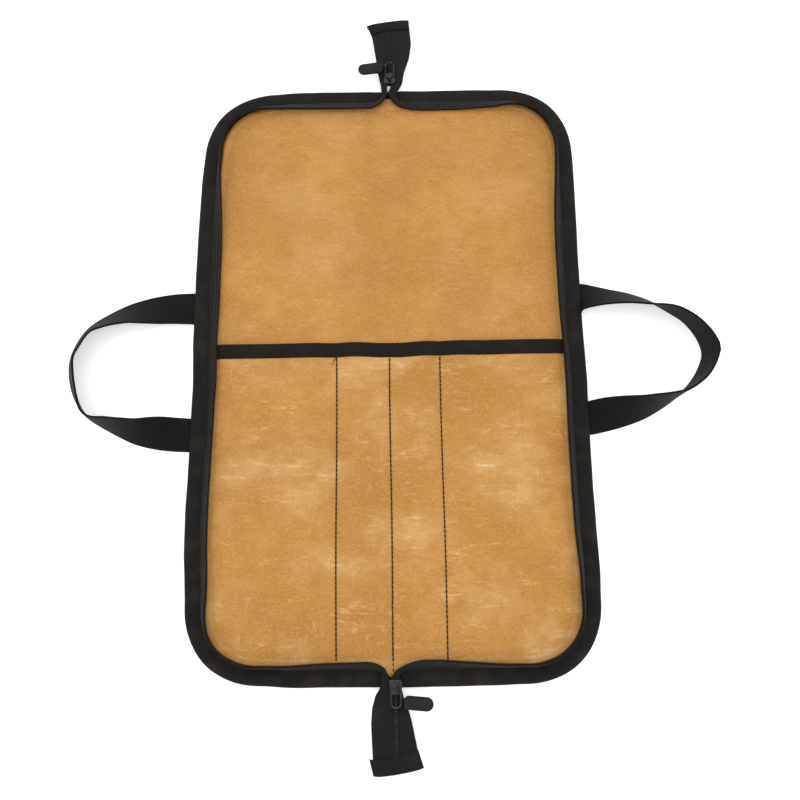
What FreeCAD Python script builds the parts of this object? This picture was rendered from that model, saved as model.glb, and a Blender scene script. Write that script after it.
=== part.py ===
"""Zip-around carving tool case of waxed canvas, lying open and flat.

The origin is the centre of the spine on the underside, +X to the right half, +Y to the end without
pockets, +Z up, in millimetres. The case folds along two lines, one on each side of the spine. Each
half is a tray: outer canvas, foam, lining, a zip tape that stands up as the wall, a grosgrain binding
round the edge, and a pocket panel.
"""
import FreeCAD, Part
import math
import os

import Sketcher

Vector = FreeCAD.Vector

SIZES = {
    # the whole case, opened flat
    "open_width": 296.0,
    "case_length": 469.0,
    "corner_radius": 57.0,
    # the spine
    "spine_half": 9.7,
    "half_start": 10.7,
    # the layers of cloth
    "canvas": 1.2,
    "foam": 2.0,
    "lining": 1.0,
    "cloth": 0.8,
    "tape": 0.8,
    # the binding
    "binding": 0.6,
    "binding_width": 10.6,
    "binding_height": 3.4,
    "end_binding_height": 2.8,
    # the wall of zip tape, as distances in from the edge
    "seam_margin": 0.7,
    "wall_outer": 10.6,
    "wall_inner": 11.4,
    "wall_bend_height": 5.0,
    "wall_lean": 5.2,
    "wall_top": 12.5,
    "coil_radius": 1.0,
    "coil_inset": 16.75,
    "coil_height": 10.45,
    "lining_inset": 11.6,
    # the pocket panel
    "pocket_inset": 18.4,
    "pocket_top": 14.0,
    "pocket_room": 5.0,
    "pocket_slope": 3.4,
    "spine_slope": 9.5,
    "pocket_binding_tall": 10.6,
    "pocket_binding": 0.6,
    "seam_offset": 38.5,
    "seam_half": 0.8,
    "thread": 0.5,
    "centre_thread_gap": 1.0,
    # the handles
    "strap_width": 25.0,
    "strap": 1.6,
    "strap_overlap": 36.0,
    "strap_clear": 0.1,
    "strap_out": 0.9,
    "swing_out": 1.5,
    "loop_gap": 0.9,
    "loop_squareness": 0.8,
    "twist_from": 0.25,
    "twist_over": 0.6,
    "left_loop_reach": 87.5,
    "left_upper_root": 44.3,
    "left_lower_root": -54.2,
    "left_apex": 1.0,
    "left_lean": 73.0,
    "right_loop_reach": 90.0,
    "right_upper_root": 50.8,
    "right_lower_root": -45.2,
    "right_apex": 13.0,
    "right_lean": 103.0,
    # the zip tails
    "tail_height": 6.4,
    "tail_start": 226.8,
    "tail_neck": 6.4,
    "tail_neck_end": 238.0,
    "tail_half": 15.5,
    "tail_wide_from": 252.0,
    "coil_setback": 0.2,
    "root_start": 224.3,
    "root_end": 225.2,
    "coil_inner": 0.65,
    "coil_outer": 2.55,
    "tail_coil": 1.9,
    "top_tail_end": 297.0,
    "bottom_tail_end": 292.0,
    "top_tail_shift": 3.0,
    "bottom_tail_shift": -1.4,
    "top_tab_length": 8.5,
    "bottom_tab_length": 12.0,
    "end_tab_half": 18.2,
    "end_tab": 2.2,
    # the sliders, their bails, links and pull tabs
    "top_slider_front": 235.5,
    "bottom_slider_front": 229.5,
    "slider_length": 10.0,
    "slider_half": 4.5,
    "slider_nose_half": 3.3,
    "slider_plate": 1.1,
    "slider_room": 2.8,
    "slider_lip_gap": 1.4,
    "slider_post": 0.9,
    "slider_post_length": 3.0,
    "slider_post_top": 0.3,
    "slider_clear": 0.2,
    "bail_wire": 1.2,
    "bail_start": 1.6,
    "bail_length": 6.4,
    "bail_height": 3.0,
    "link_wire": 1.4,
    "link_start": 4.8,
    "link_length": 13.6,
    "link_half": 3.3,
    "link_lift": 0.9,
    "tab_middle": 14.5,
    "eye_radius": 1.75,
    "eye_wire": 1.0,
    "eye_shift": 0.3,
    "tab_from": 2.2,
    "tab_length": 20.0,
    "tab_width": 9.5,
    "tab_neck": 7.6,
    "tab_thick": 2.4,
}

doc = FreeCAD.newDocument("carving_tool_case")
sheet = doc.addObject("Spreadsheet::Sheet", "Sizes")
for row, (word, value) in enumerate(SIZES.items(), start=1):
    sheet.set("A%d" % row, word)
    sheet.set("B%d" % row, str(value))
    sheet.setAlias("B%d" % row, word)
doc.recompute()

NODES = []


def size(words):
    """The value of a formula in the sheet's words."""
    return float(sheet.evalExpression(words))


def keep(thing, label):
    """Names a finished sub-part, which is then written as a file of that name."""
    thing.Label = label
    NODES.append(thing)
    return thing


def in_sheet(words):
    """The same formula, as an object other than the sheet has to write it."""
    out = words
    for word in sorted(SIZES, key=len, reverse=True):
        out = out.replace("{" + word + "}", "Sizes." + word)
    return out


def value(words):
    """The value of a formula that names the sheet's words in braces."""
    out = words
    for word in SIZES:
        out = out.replace("{" + word + "}", word)
    return size(out)


def box(name, low, high):
    """A plain block between two corners, each given as three formulas."""
    block = doc.addObject("Part::Box", name)
    for side, bottom, top in zip(("Length", "Width", "Height"), low, high):
        block.setExpression(side, in_sheet("(%s) - (%s)" % (top, bottom)))
    for letter, bottom in zip("xyz", low):
        block.setExpression("Placement.Base." + letter, in_sheet(bottom))
    return block


def cut(name, base, tool):
    """base with tool taken away."""
    made = doc.addObject("Part::Cut", name)
    made.Base = base
    made.Tool = tool
    return made


def common(name, base, tool):
    """What base and tool share."""
    made = doc.addObject("Part::Common", name)
    made.Base = base
    made.Tool = tool
    return made


def fuse(name, things):
    """Several overlapping solids as one."""
    made = doc.addObject("Part::MultiFuse", name)
    made.Shapes = things
    made.Refine = True
    return made


def group(name, things):
    """Several separate solids in one sub-part."""
    made = doc.addObject("Part::Compound", name)
    made.Links = things
    return made


def mirrored(name, source, normal):
    """source mirrored in a plane through the origin."""
    made = doc.addObject("Part::Mirroring", name)
    made.Source = source
    made.Base = Vector(0, 0, 0)
    made.Normal = normal
    return made


def origin_plane(body, role):
    """One of a body's own origin planes."""
    return [feature for feature in body.Origin.OriginFeatures if feature.Role == role][0]


def sketch_on(body, name, role, offset):
    """An empty sketch on one of the body's origin planes, moved along the plane's normal by a formula."""
    sketch = body.newObject("Sketcher::SketchObject", name)
    sketch.AttachmentSupport = [(origin_plane(body, role), "")]
    sketch.MapMode = "FlatFace"
    sketch.setExpression("AttachmentOffset.Base.z", in_sheet(offset))
    return sketch


def draw_polygon(sketch, corners):
    """A closed outline whose corners are held at pairs of formulas."""
    places = [Vector(value(across), value(up), 0) for across, up in corners]
    count = len(places)
    for number, place in enumerate(places):
        sketch.addGeometry(Part.LineSegment(place, places[(number + 1) % count]), False)
    for number in range(count):
        sketch.addConstraint(Sketcher.Constraint("Coincident", number, 2, (number + 1) % count, 1))
    for number, (across, up) in enumerate(corners):
        for kind, words, at in (("DistanceX", across, places[number].x), ("DistanceY", up, places[number].y)):
            held = sketch.addConstraint(Sketcher.Constraint(kind, -1, 1, number, 1, at))
            sketch.setExpression("Constraints[%d]" % held, in_sheet(words))


def prism(name, role, corners, start, depth, label=None):
    """A PartDesign body: a polygon on an origin plane, padded by a formula from a formula."""
    body = doc.addObject("PartDesign::Body", name)
    sketch = sketch_on(body, name + "_outline", role, start)
    draw_polygon(sketch, corners)
    pad = body.newObject("PartDesign::Pad", name + "_pad")
    pad.Profile = sketch
    pad.setExpression("Length", in_sheet(depth))
    if label:
        keep(body, label)
    return body


def tray_slab(name, inset, inner, low, high):
    """Half of the case's rounded outline as a slab, left of x = -inner and drawn in by inset."""
    left = "-({open_width} / 2 - (%s))" % inset
    reach = "{case_length} / 2 - (%s)" % inset
    corners = [
        ("-(%s)" % inner, "-(%s)" % reach),
        ("-(%s)" % inner, reach),
        (left, reach),
        (left, "-(%s)" % reach),
    ]
    body = prism(name, "XY_Plane", corners, low, "(%s) - (%s)" % (high, low))
    doc.recompute()
    pad = body.Tip
    edge_names = [
        "Edge%d" % number
        for number, edge in enumerate(pad.Shape.Edges, start=1)
        if all(abs(vertex.X - value(left)) < 0.001 for vertex in edge.Vertexes)
        and abs(edge.Vertexes[0].Z - edge.Vertexes[-1].Z) > 0.001
    ]
    rounded = body.newObject("PartDesign::Fillet", name + "_corners")
    rounded.Base = (pad, edge_names)
    rounded.setExpression("Radius", in_sheet("{corner_radius} - (%s)" % inset))
    body.Tip = rounded
    return body


def edge_path(body, name):
    """The left half's outer edge, from the spine's top end round to its bottom end, as a sketch."""
    path = sketch_on(body, name, "XY_Plane", "0")
    wide, reach = value("{open_width} / 2"), value("{case_length} / 2")
    radius, start = value("{corner_radius}"), value("{half_start}")
    centre_x = radius - wide
    centre_y = reach - radius
    top = Part.Circle(Vector(centre_x, centre_y, 0), Vector(0, 0, 1), radius)
    bottom = Part.Circle(Vector(centre_x, -centre_y, 0), Vector(0, 0, 1), radius)
    pieces = [
        Part.LineSegment(Vector(-start, reach, 0), Vector(centre_x, reach, 0)),
        Part.ArcOfCircle(top, math.pi / 2, math.pi),
        Part.LineSegment(Vector(-wide, centre_y, 0), Vector(-wide, -centre_y, 0)),
        Part.ArcOfCircle(bottom, math.pi, 1.5 * math.pi),
        Part.LineSegment(Vector(centre_x, -reach, 0), Vector(-start, -reach, 0)),
    ]
    for piece in pieces:
        path.addGeometry(piece, False)
    for number in range(4):
        path.addConstraint(Sketcher.Constraint("Tangent", number, 2, number + 1, 1))
    path.addConstraint(Sketcher.Constraint("Horizontal", 0))
    path.addConstraint(Sketcher.Constraint("Vertical", 2))
    path.addConstraint(Sketcher.Constraint("Equal", 1, 3))
    sizes = [
        (Sketcher.Constraint("Radius", 1, radius), "{corner_radius}"),
        (Sketcher.Constraint("DistanceX", -1, 1, 0, 1, -start), "-{half_start}"),
        (Sketcher.Constraint("DistanceY", -1, 1, 0, 1, reach), "{case_length} / 2"),
        (Sketcher.Constraint("DistanceX", -1, 1, 2, 1, -wide), "-{open_width} / 2"),
        (Sketcher.Constraint("DistanceX", -1, 1, 4, 2, -start), "-{half_start}"),
        (Sketcher.Constraint("DistanceY", -1, 1, 4, 2, -reach), "-{case_length} / 2"),
    ]
    for constraint, words in sizes:
        held = path.addConstraint(constraint)
        path.setExpression("Constraints[%d]" % held, in_sheet(words))
    return path


def swept_along_edge(name, draw_section):
    """A section swept round the left half's edge. draw_section gets the sketch, whose X is the row's +Y."""
    body = doc.addObject("PartDesign::Body", name)
    path = edge_path(body, name + "_path")
    section = sketch_on(body, name + "_section", "YZ_Plane", "-{half_start}")
    draw_section(section)
    pipe = body.newObject("PartDesign::AdditivePipe", name + "_sweep")
    pipe.Profile = section
    pipe.Spine = (path, ["Edge%d" % number for number in range(1, 6)])
    return body


# --- the two halves: each is made on the left and mirrored to the right ---------------------------

# how far a cutting block reaches past what it cuts
PAST = "1"
FIELD_TOP = "{canvas} + {foam} + {lining}"
HEM_LINING_TOP = "{canvas} + {cloth}"


def strap_recess(name, root_words):
    """The room under the edge for one sewn-down end of a handle, as formulas for a block on the left."""
    outer = "-({open_width} / 2 + %s)" % PAST
    inner = "-({open_width} / 2 - {strap_overlap} - {strap_clear})"
    return box(
        name,
        (outer, "%s - {strap_width} / 2 - {strap_clear}" % root_words, "-" + PAST),
        (inner, "%s + {strap_width} / 2 + {strap_clear}" % root_words, "{strap} + {strap_clear} / 2"),
    )


def strap_recesses(name, side):
    """Both recesses of one side's handle, on the left."""
    upper = strap_recess(name + "_upper_recess", "{%s_upper_root}" % side)
    lower = strap_recess(name + "_lower_recess", "{%s_lower_root}" % side)
    return group(name + "_recesses", [upper, lower])


def make_cover(side):
    whole = tray_slab(side + "_cover_slab", "{seam_margin}", "{half_start}", "0", "{canvas}")
    hem_outer = tray_slab(side + "_cover_hem_outer", "-" + PAST, "0", "-" + PAST, "{binding}")
    hem_inner = tray_slab(
        side + "_cover_hem_inner", "{binding_width}", "-" + PAST, "-2 * " + PAST, "{binding} + " + PAST
    )
    hem = cut(side + "_cover_hem", hem_outer, hem_inner)
    rebated = cut(side + "_cover_rebated", whole, hem)
    return cut(side + "_cover_sheet", rebated, strap_recesses(side + "_cover", side))


def make_foam(side):
    whole = tray_slab(
        side + "_foam_slab", "{lining_inset} + {lining}", "{half_start}", "{canvas}", "{canvas} + {foam}"
    )
    return cut(side + "_foam_pad", whole, strap_recesses(side + "_foam", side))


def make_lining(side):
    field = tray_slab(
        side + "_lining_field", "{lining_inset}", "{half_start}", "{canvas} + {foam}", FIELD_TOP
    )
    skirt_outer = tray_slab(side + "_skirt_outer", "{lining_inset}", "{half_start}", "{canvas}", FIELD_TOP)
    skirt_inner = tray_slab(
        side + "_skirt_inner",
        "{lining_inset} + {lining}",
        "{half_start} - " + PAST,
        "0",
        FIELD_TOP + " + " + PAST,
    )
    skirt = cut(side + "_lining_skirt", skirt_outer, skirt_inner)
    hem_outer = tray_slab(side + "_hem_outer", "{seam_margin}", "{half_start}", "{canvas}", HEM_LINING_TOP)
    hem_inner = tray_slab(
        side + "_hem_inner",
        "{lining_inset} + {lining} / 2",
        "{half_start} - " + PAST,
        "0",
        HEM_LINING_TOP + " + " + PAST,
    )
    hem = cut(side + "_lining_hem", hem_outer, hem_inner)
    whole = fuse(side + "_lining_whole", [field, skirt, hem])
    return cut(side + "_lining_sheet", whole, strap_recesses(side + "_lining", side))


def make_binding(side):
    outer = tray_slab(side + "_binding_outer", "0", "{half_start}", "0", "{binding_height}")
    core = tray_slab(
        side + "_binding_core",
        "{binding}",
        "{half_start} - " + PAST,
        "{binding}",
        "{binding_height} - {binding}",
    )
    window = tray_slab(
        side + "_binding_window",
        "{binding_width}",
        "{half_start} - 2 * " + PAST,
        "-" + PAST,
        "{binding_height} + " + PAST,
    )
    hollow = cut(side + "_binding_hollow", outer, core)
    ring = cut(side + "_binding_ring", hollow, window)
    return cut(side + "_binding_tape", ring, strap_recesses(side + "_binding", side))


def make_zip_tape(side):
    hem_low = HEM_LINING_TOP
    hem_high = HEM_LINING_TOP + " + {tape}"

    def draw(section):
        edge = "{case_length} / 2 - "
        draw_polygon(
            section,
            [
                (edge + "{seam_margin}", hem_low),
                (edge + "{wall_inner}", hem_low),
                (edge + "{wall_inner}", "{wall_bend_height}"),
                (edge + "({wall_inner} + {wall_lean})", "{wall_top} - {tape} / 2"),
                (edge + "({wall_inner} + {wall_lean} - {tape})", "{wall_top}"),
                (edge + "{wall_outer}", "{wall_bend_height} + {tape} / 2"),
                (edge + "{wall_outer}", hem_high),
                (edge + "{seam_margin}", hem_high),
            ],
        )

    return swept_along_edge(side + "_zip_tape_body", draw)


def make_zip_coil(side):
    def draw(section):
        across = value("{case_length} / 2 - {coil_inset}")
        up = value("{coil_height}")
        circle = Part.Circle(Vector(across, up, 0), Vector(0, 0, 1), value("{coil_radius}"))
        section.addGeometry(circle, False)
        sizes = [
            (Sketcher.Constraint("Radius", 0, value("{coil_radius}")), "{coil_radius}"),
            (Sketcher.Constraint("DistanceX", -1, 1, 0, 3, across), "{case_length} / 2 - {coil_inset}"),
            (Sketcher.Constraint("DistanceY", -1, 1, 0, 3, up), "{coil_height}"),
        ]
        for constraint, words in sizes:
            held = section.addConstraint(constraint)
            section.setExpression("Constraints[%d]" % held, in_sheet(words))

    return swept_along_edge(side + "_zip_coil_body", draw)


def make_pocket_panel(side):
    """The panel's cloth: one roof over a wide and a narrow slot, sewn to the lining between them."""
    floor = FIELD_TOP
    low = floor + " + {cloth}"
    high = floor + " + {pocket_room} + {cloth}"
    outer = "-({open_width} / 2 - {pocket_inset})"
    seam_out = "-({seam_offset} + {seam_half})"
    seam_in = "-({seam_offset} - {seam_half})"
    start = "{case_length} / 2 - {pocket_inset}"
    depth = start + " + {pocket_top}"
    roof = [
        (outer, floor),
        (outer, low),
        (outer + " + {pocket_slope}", high),
        (seam_out + " - {pocket_slope}", high),
        (seam_out, low),
        (seam_in, low),
        (seam_in + " + {pocket_slope}", high),
        ("-({half_start} + {spine_slope})", high),
        ("-{half_start}", low),
        ("-{half_start}", floor),
    ]
    wide_slot = [
        (outer + " + {cloth}", floor),
        (outer + " + {pocket_slope} + {cloth}", high + " - {cloth}"),
        (seam_out + " - {pocket_slope} - {cloth}", high + " - {cloth}"),
        (seam_out + " - {cloth}", floor),
    ]
    narrow_slot = [
        (seam_in + " + {cloth}", floor),
        (seam_in + " + {pocket_slope} + {cloth}", high + " - {cloth}"),
        ("-({half_start} + {spine_slope} + {cloth})", high + " - {cloth}"),
        ("-({half_start} + 2 * {cloth})", floor),
    ]
    solids = []
    for part, outline, extra, inset in (
        ("roof", roof, "0", "{pocket_inset}"),
        ("wide_slot", wide_slot, PAST, "{pocket_inset} + {cloth}"),
        ("narrow_slot", narrow_slot, PAST, "{pocket_inset} + {cloth}"),
    ):
        name = side + "_pocket_" + part
        run = prism(
            name + "_run", "XZ_Plane", outline, "-({pocket_top} + %s)" % extra, depth + " + %s" % extra
        )
        limit = tray_slab(name + "_limit", inset, "{half_start}", floor, high + " + " + PAST)
        solids.append(common(name, run, limit))
    slots = fuse(side + "_pocket_slots", solids[1:])
    return cut(side + "_pocket_cloth", solids[0], slots)


def make_pocket_binding(side):
    """The tape folded over the panel's top edge: the top face and the turned-over end."""
    roof = FIELD_TOP + " + {pocket_room} + {cloth}"
    outer = "-({open_width} / 2 - {pocket_inset} - {pocket_slope})"
    inner = "-({half_start} + {spine_slope})"
    face = box(
        side + "_pocket_binding_face",
        (outer, "{pocket_top} + {pocket_binding} - {pocket_binding_tall}", roof),
        (inner, "{pocket_top} + {pocket_binding}", roof + " + {pocket_binding}"),
    )
    turned = box(
        side + "_pocket_binding_turned",
        (outer, "{pocket_top}", roof + " - {cloth}"),
        (inner, "{pocket_top} + {pocket_binding}", roof + " + {pocket_binding}"),
    )
    dip = box(
        side + "_pocket_binding_dip",
        (
            "-({seam_offset} + {seam_half} + {pocket_slope})",
            "0",
            roof + " - {cloth} - " + PAST,
        ),
        (
            "-({seam_offset} - {seam_half} - {pocket_slope})",
            "{pocket_top}",
            roof,
        ),
    )
    return cut(side + "_pocket_binding_tape", fuse(side + "_pocket_binding_whole", [face, turned]), dip)


def make_pocket_stitch(side):
    seam_top = FIELD_TOP + " + {cloth}"
    return box(
        side + "_pocket_thread",
        ("-{seam_offset} - {thread} / 2", "-({case_length} / 2 - {pocket_inset})", seam_top),
        ("-{seam_offset} + {thread} / 2", "{pocket_top} - {pocket_binding_tall}", seam_top + " + {thread}"),
    )


def make_handle_ends(side):
    """The two lengths of webbing that are sewn down under the edge."""
    ends = []
    for place in ("upper", "lower"):
        root = "{%s_%s_root}" % (side, place)
        ends.append(
            box(
                "%s_handle_%s_end" % (side, place),
                ("-({open_width} / 2 + {strap_out})", root + " - {strap_width} / 2", "0"),
                ("-({open_width} / 2 - {strap_overlap})", root + " + {strap_width} / 2", "{strap}"),
            )
        )
    return group(side + "_handle_end_pair", ends)


LOOP_STEPS = 20


def make_handle_loop(side):
    """The free loop of webbing, as ruled sections round a D: flat at both roots, on edge at the middle."""
    width, thick = value("{strap_width}"), value("{strap}")
    start_x = -value("{open_width} / 2 + {swing_out} + {loop_gap}")
    reach = value("{%s_loop_reach}" % side) - value("{swing_out} + {loop_gap}")
    upper, lower = value("{%s_upper_root}" % side), value("{%s_lower_root}" % side)
    apex = value("{%s_apex}" % side)
    lean = math.radians(value("{%s_lean}" % side))
    square, twist_from, twist_over = value("{loop_squareness}"), value("{twist_from}"), value("{twist_over}")
    spots = []
    for step in range(LOOP_STEPS + 1):
        turn = math.pi * step / LOOP_STEPS
        across = start_x - reach * math.sin(turn) ** square
        along_side = (upper - apex) if turn < math.pi / 2 else (apex - lower)
        along = apex + along_side * math.copysign(abs(math.cos(turn)) ** square, math.cos(turn))
        spots.append(Vector(across, along, 0))
    sections = []
    for step, spot in enumerate(spots):
        before = spots[max(step - 1, 0)]
        after = spots[min(step + 1, LOOP_STEPS)]
        heading = Vector(after.x - before.x, after.y - before.y, 0).normalize()
        if step == 0:
            heading = Vector(-1, 0, 0)
        if step == LOOP_STEPS:
            heading = Vector(1, 0, 0)
        outward = Vector(0, 0, 1).cross(heading) * -1
        rise = math.sin(math.pi * step / LOOP_STEPS)
        twist = lean * min(1.0, max(0.0, (rise - twist_from) / twist_over))
        wide = outward * -math.cos(twist) + Vector(0, 0, 1) * math.sin(twist)
        flat = heading.cross(wide)
        lift = thick / 2 * abs(flat.z) + width / 2 * abs(wide.z)
        centre = Vector(spot.x, spot.y, lift)
        corners = [
            centre + wide * (a * width / 2) + flat * (b * thick / 2)
            for a, b in ((-1, -1), (1, -1), (1, 1), (-1, 1))
        ]
        sections.append(Part.makePolygon(corners + corners[:1]))
    loop = doc.addObject("Part::Feature", side + "_handle_band")
    loop.Shape = Part.makeLoft(sections, True, True)
    return loop


LEFT_HALF_PARTS = {
    "cover": make_cover,
    "foam": make_foam,
    "lining": make_lining,
    "binding": make_binding,
    "zip_tape": make_zip_tape,
    "zip_coil": make_zip_coil,
    "pocket_panel": make_pocket_panel,
    "pocket_binding": make_pocket_binding,
    "pocket_stitch": make_pocket_stitch,
    "handle_ends": make_handle_ends,
    "handle_loop": make_handle_loop,
}
for side in ("left", "right"):
    for part_name, make in LEFT_HALF_PARTS.items():
        made = make(side)
        if side == "right":
            doc.recompute()
            made = mirrored("right_%s_mirrored" % part_name, made, Vector(1, 0, 0))
        keep(made, "%s_%s" % (side, part_name))


# --- the spine ------------------------------------------------------------------------------------

SPINE_LINING_TOP = "{canvas} + {lining}"
SPINE_PANEL_TOP = "{canvas} + {lining} + {cloth}"
END = "{case_length} / 2"


def spine_block(name, y_low, y_high, z_low, z_high):
    """A block as wide as the spine."""
    return box(name, ("-{spine_half}", y_low, z_low), ("{spine_half}", y_high, z_high))


SPINE_START = "-(%s - {binding})" % END
SPINE_STOP = END + " - {binding}"
cover_plate = spine_block("spine_cover_plate", SPINE_START, SPINE_STOP, "0", "{canvas}")
top_rebate = box(
    "spine_top_rebate",
    ("-{half_start}", END + " - {binding_width}", "-" + PAST),
    ("{half_start}", END + " + " + PAST, "{binding}"),
)
bottom_rebate = box(
    "spine_bottom_rebate",
    ("-{half_start}", "-(%s + %s)" % (END, PAST), "-" + PAST),
    ("{half_start}", "-(%s - {binding_width})" % END, "{binding}"),
)
rebates = group("spine_rebates", [top_rebate, bottom_rebate])
keep(cut("spine_cover_strip", cover_plate, rebates), "spine_cover")
keep(
    spine_block("spine_lining_strip", SPINE_START, SPINE_STOP, "{canvas}", SPINE_LINING_TOP),
    "spine_lining",
)
keep(
    spine_block(
        "spine_panel_strip",
        "-(%s - {binding_width} - {tape})" % END,
        "{pocket_top}",
        SPINE_LINING_TOP,
        SPINE_PANEL_TOP,
    ),
    "spine_pocket_panel",
)
keep(
    spine_block(
        "spine_binding_strip",
        "{pocket_top} + {pocket_binding} - {pocket_binding_tall}",
        "{pocket_top}",
        SPINE_PANEL_TOP,
        SPINE_PANEL_TOP + " + {pocket_binding}",
    ),
    "spine_pocket_binding",
)
keep(
    box(
        "centre_thread",
        ("-{thread} / 2", "-(%s - {binding_width} - {centre_thread_gap})" % END, SPINE_PANEL_TOP),
        ("{thread} / 2", "{pocket_top} - {pocket_binding_tall}", SPINE_PANEL_TOP + " + {thread}"),
    ),
    "centre_stitch",
)

end_outer = spine_block("end_binding_outer", END + " - {binding_width}", END, "0", "{end_binding_height}")
end_core = box(
    "end_binding_core",
    ("-{half_start}", END + " - {binding_width} - " + PAST, "{binding}"),
    ("{half_start}", END + " - {binding}", "{end_binding_height} - {binding}"),
)
top_end_binding = cut("top_end_binding_tape", end_outer, end_core)
keep(top_end_binding, "top_end_binding")
keep(mirrored("bottom_end_binding_tape", top_end_binding, Vector(0, 1, 0)), "bottom_end_binding")


# --- the zip tails --------------------------------------------------------------------------------

TAPE_LOW = "{tail_height} - {tape} / 2"
TAPE_HIGH = "{tail_height} + {tape} / 2"


def tape_roots(name):
    """The gathered ends of both tapes, standing on the end binding at the top of the spine."""
    left = box(
        name + "_left",
        ("-{tail_neck}", "{root_start}", "{end_binding_height}"),
        ("-{coil_inner}", "{root_end}", TAPE_HIGH),
    )
    right = box(
        name + "_right",
        ("{coil_inner}", "{root_start}", "{end_binding_height}"),
        ("{tail_neck}", "{root_end}", TAPE_HIGH),
    )
    return group(name, [left, right])


def tail_tape(name, tail_end):
    """One tape of a tail at the top end, on the left: narrow over the edge of the case, full width beyond."""
    corners = [
        ("-{coil_outer}", "{tail_start}"),
        ("-{coil_outer}", tail_end),
        ("-{tail_half}", tail_end),
        ("-{tail_half}", "{tail_wide_from}"),
        ("-{tail_neck}", "{tail_neck_end}"),
        ("-{tail_neck}", "{tail_start}"),
    ]
    return prism(name, "XY_Plane", corners, TAPE_LOW, "{tape}")


def tail_coil(name, tail_end):
    """One coil of a tail, on the left of its middle line, as a smooth bar."""
    return box(
        name,
        ("-{coil_outer}", "{tail_start} + {coil_setback}", "{tail_height} - {tail_coil} / 2"),
        ("-{coil_inner}", tail_end, "{tail_height} + {tail_coil} / 2"),
    )


def end_tab(name, tail_end, tab_length):
    """The folded tape sewn over the end of a tail."""
    return box(
        name + "_whole",
        ("-{end_tab_half}", "%s - %s" % (tail_end, tab_length), "{tail_height} - {end_tab} / 2"),
        ("{end_tab_half}", tail_end, "{tail_height} + {end_tab} / 2"),
    )


def slider(name, front):
    """The slider's two plates with their lips, and the post between the coils at its front."""
    half_room = "{slider_room} / 2"
    post_top = "{tail_height} + %s + {slider_post_top}" % half_room
    bottom = "{tail_height} - %s - {slider_plate}" % half_room
    outline = [
        ("-{slider_half}", front),
        ("{slider_half}", front),
        ("{slider_half}", front + " + {slider_length} / 2"),
        ("{slider_nose_half}", front + " + {slider_length}"),
        ("-{slider_nose_half}", front + " + {slider_length}"),
        ("-{slider_half}", front + " + {slider_length} / 2"),
    ]
    height = "{slider_room} + 2 * {slider_plate}"
    whole = prism(name + "_whole", "XY_Plane", outline, bottom, height)
    channel = box(
        name + "_channel",
        (
            "-({coil_outer} + {slider_clear})",
            front + " - " + PAST,
            "{tail_height} - %s" % half_room,
        ),
        (
            "{coil_outer} + {slider_clear}",
            front + " + {slider_length} + " + PAST,
            "{tail_height} + %s" % half_room,
        ),
    )
    gap = box(
        name + "_tape_gap",
        ("-({slider_half} + %s)" % PAST, front + " - " + PAST, "{tail_height} - {slider_lip_gap} / 2"),
        (
            "{slider_half} + " + PAST,
            front + " + {slider_length} + " + PAST,
            "{tail_height} + {slider_lip_gap} / 2",
        ),
    )
    post = box(
        name + "_post",
        ("-{slider_post} / 2", front, bottom + " + {slider_plate} / 2"),
        ("{slider_post} / 2", front + " + {slider_post_length}", post_top),
    )
    hollow = cut(name + "_hollow", whole, fuse(name + "_inside", [channel, gap]))
    return fuse(name, [hollow, post])


SLIDER_TOP = "{tail_height} + {slider_room} / 2 + {slider_plate}"


def bail(name, front):
    """The arch on top of the slider that the link passes through."""
    start = front + " + {bail_start}"
    whole = box(
        name + "_whole",
        ("-{bail_wire} / 2", start, SLIDER_TOP),
        ("{bail_wire} / 2", start + " + {bail_length}", SLIDER_TOP + " + {bail_height}"),
    )
    window = box(
        name + "_window",
        ("-{bail_wire}", start + " + {bail_wire}", SLIDER_TOP + " - " + PAST),
        (
            "{bail_wire}",
            start + " + {bail_length} - {bail_wire}",
            SLIDER_TOP + " + {bail_height} - {bail_wire}",
        ),
    )
    return cut(name, whole, window)


def ring_of_wire(name, centre_line, wire_radius, at, tangent):
    """Round wire swept along a closed line."""
    circle = Part.Wire(Part.Circle(at, tangent, wire_radius).toShape())
    ring = doc.addObject("Part::Feature", name)
    ring.Shape = centre_line.makePipeShell([circle], True, True)
    return ring


def pull_link(name, front):
    """The oval link, lying flat, with one end under the bail."""
    half, wire = value("{link_half}"), value("{link_wire} / 2")
    near = value(front + " + {link_start}") + half
    far = value(front + " + {link_start} + {link_length}") - half
    level = value(SLIDER_TOP + " + {link_lift}")
    corners = [Vector(half, near, level), Vector(half, far, level), Vector(-half, far, level)]
    corners.append(Vector(-half, near, level))
    edges = [
        Part.LineSegment(corners[0], corners[1]).toShape(),
        Part.Arc(corners[1], Vector(0, far + half, level), corners[2]).toShape(),
        Part.LineSegment(corners[2], corners[3]).toShape(),
        Part.Arc(corners[3], Vector(0, near - half, level), corners[0]).toShape(),
    ]
    return ring_of_wire(name, Part.Wire(edges), wire, corners[0], Vector(0, 1, 0))


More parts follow.
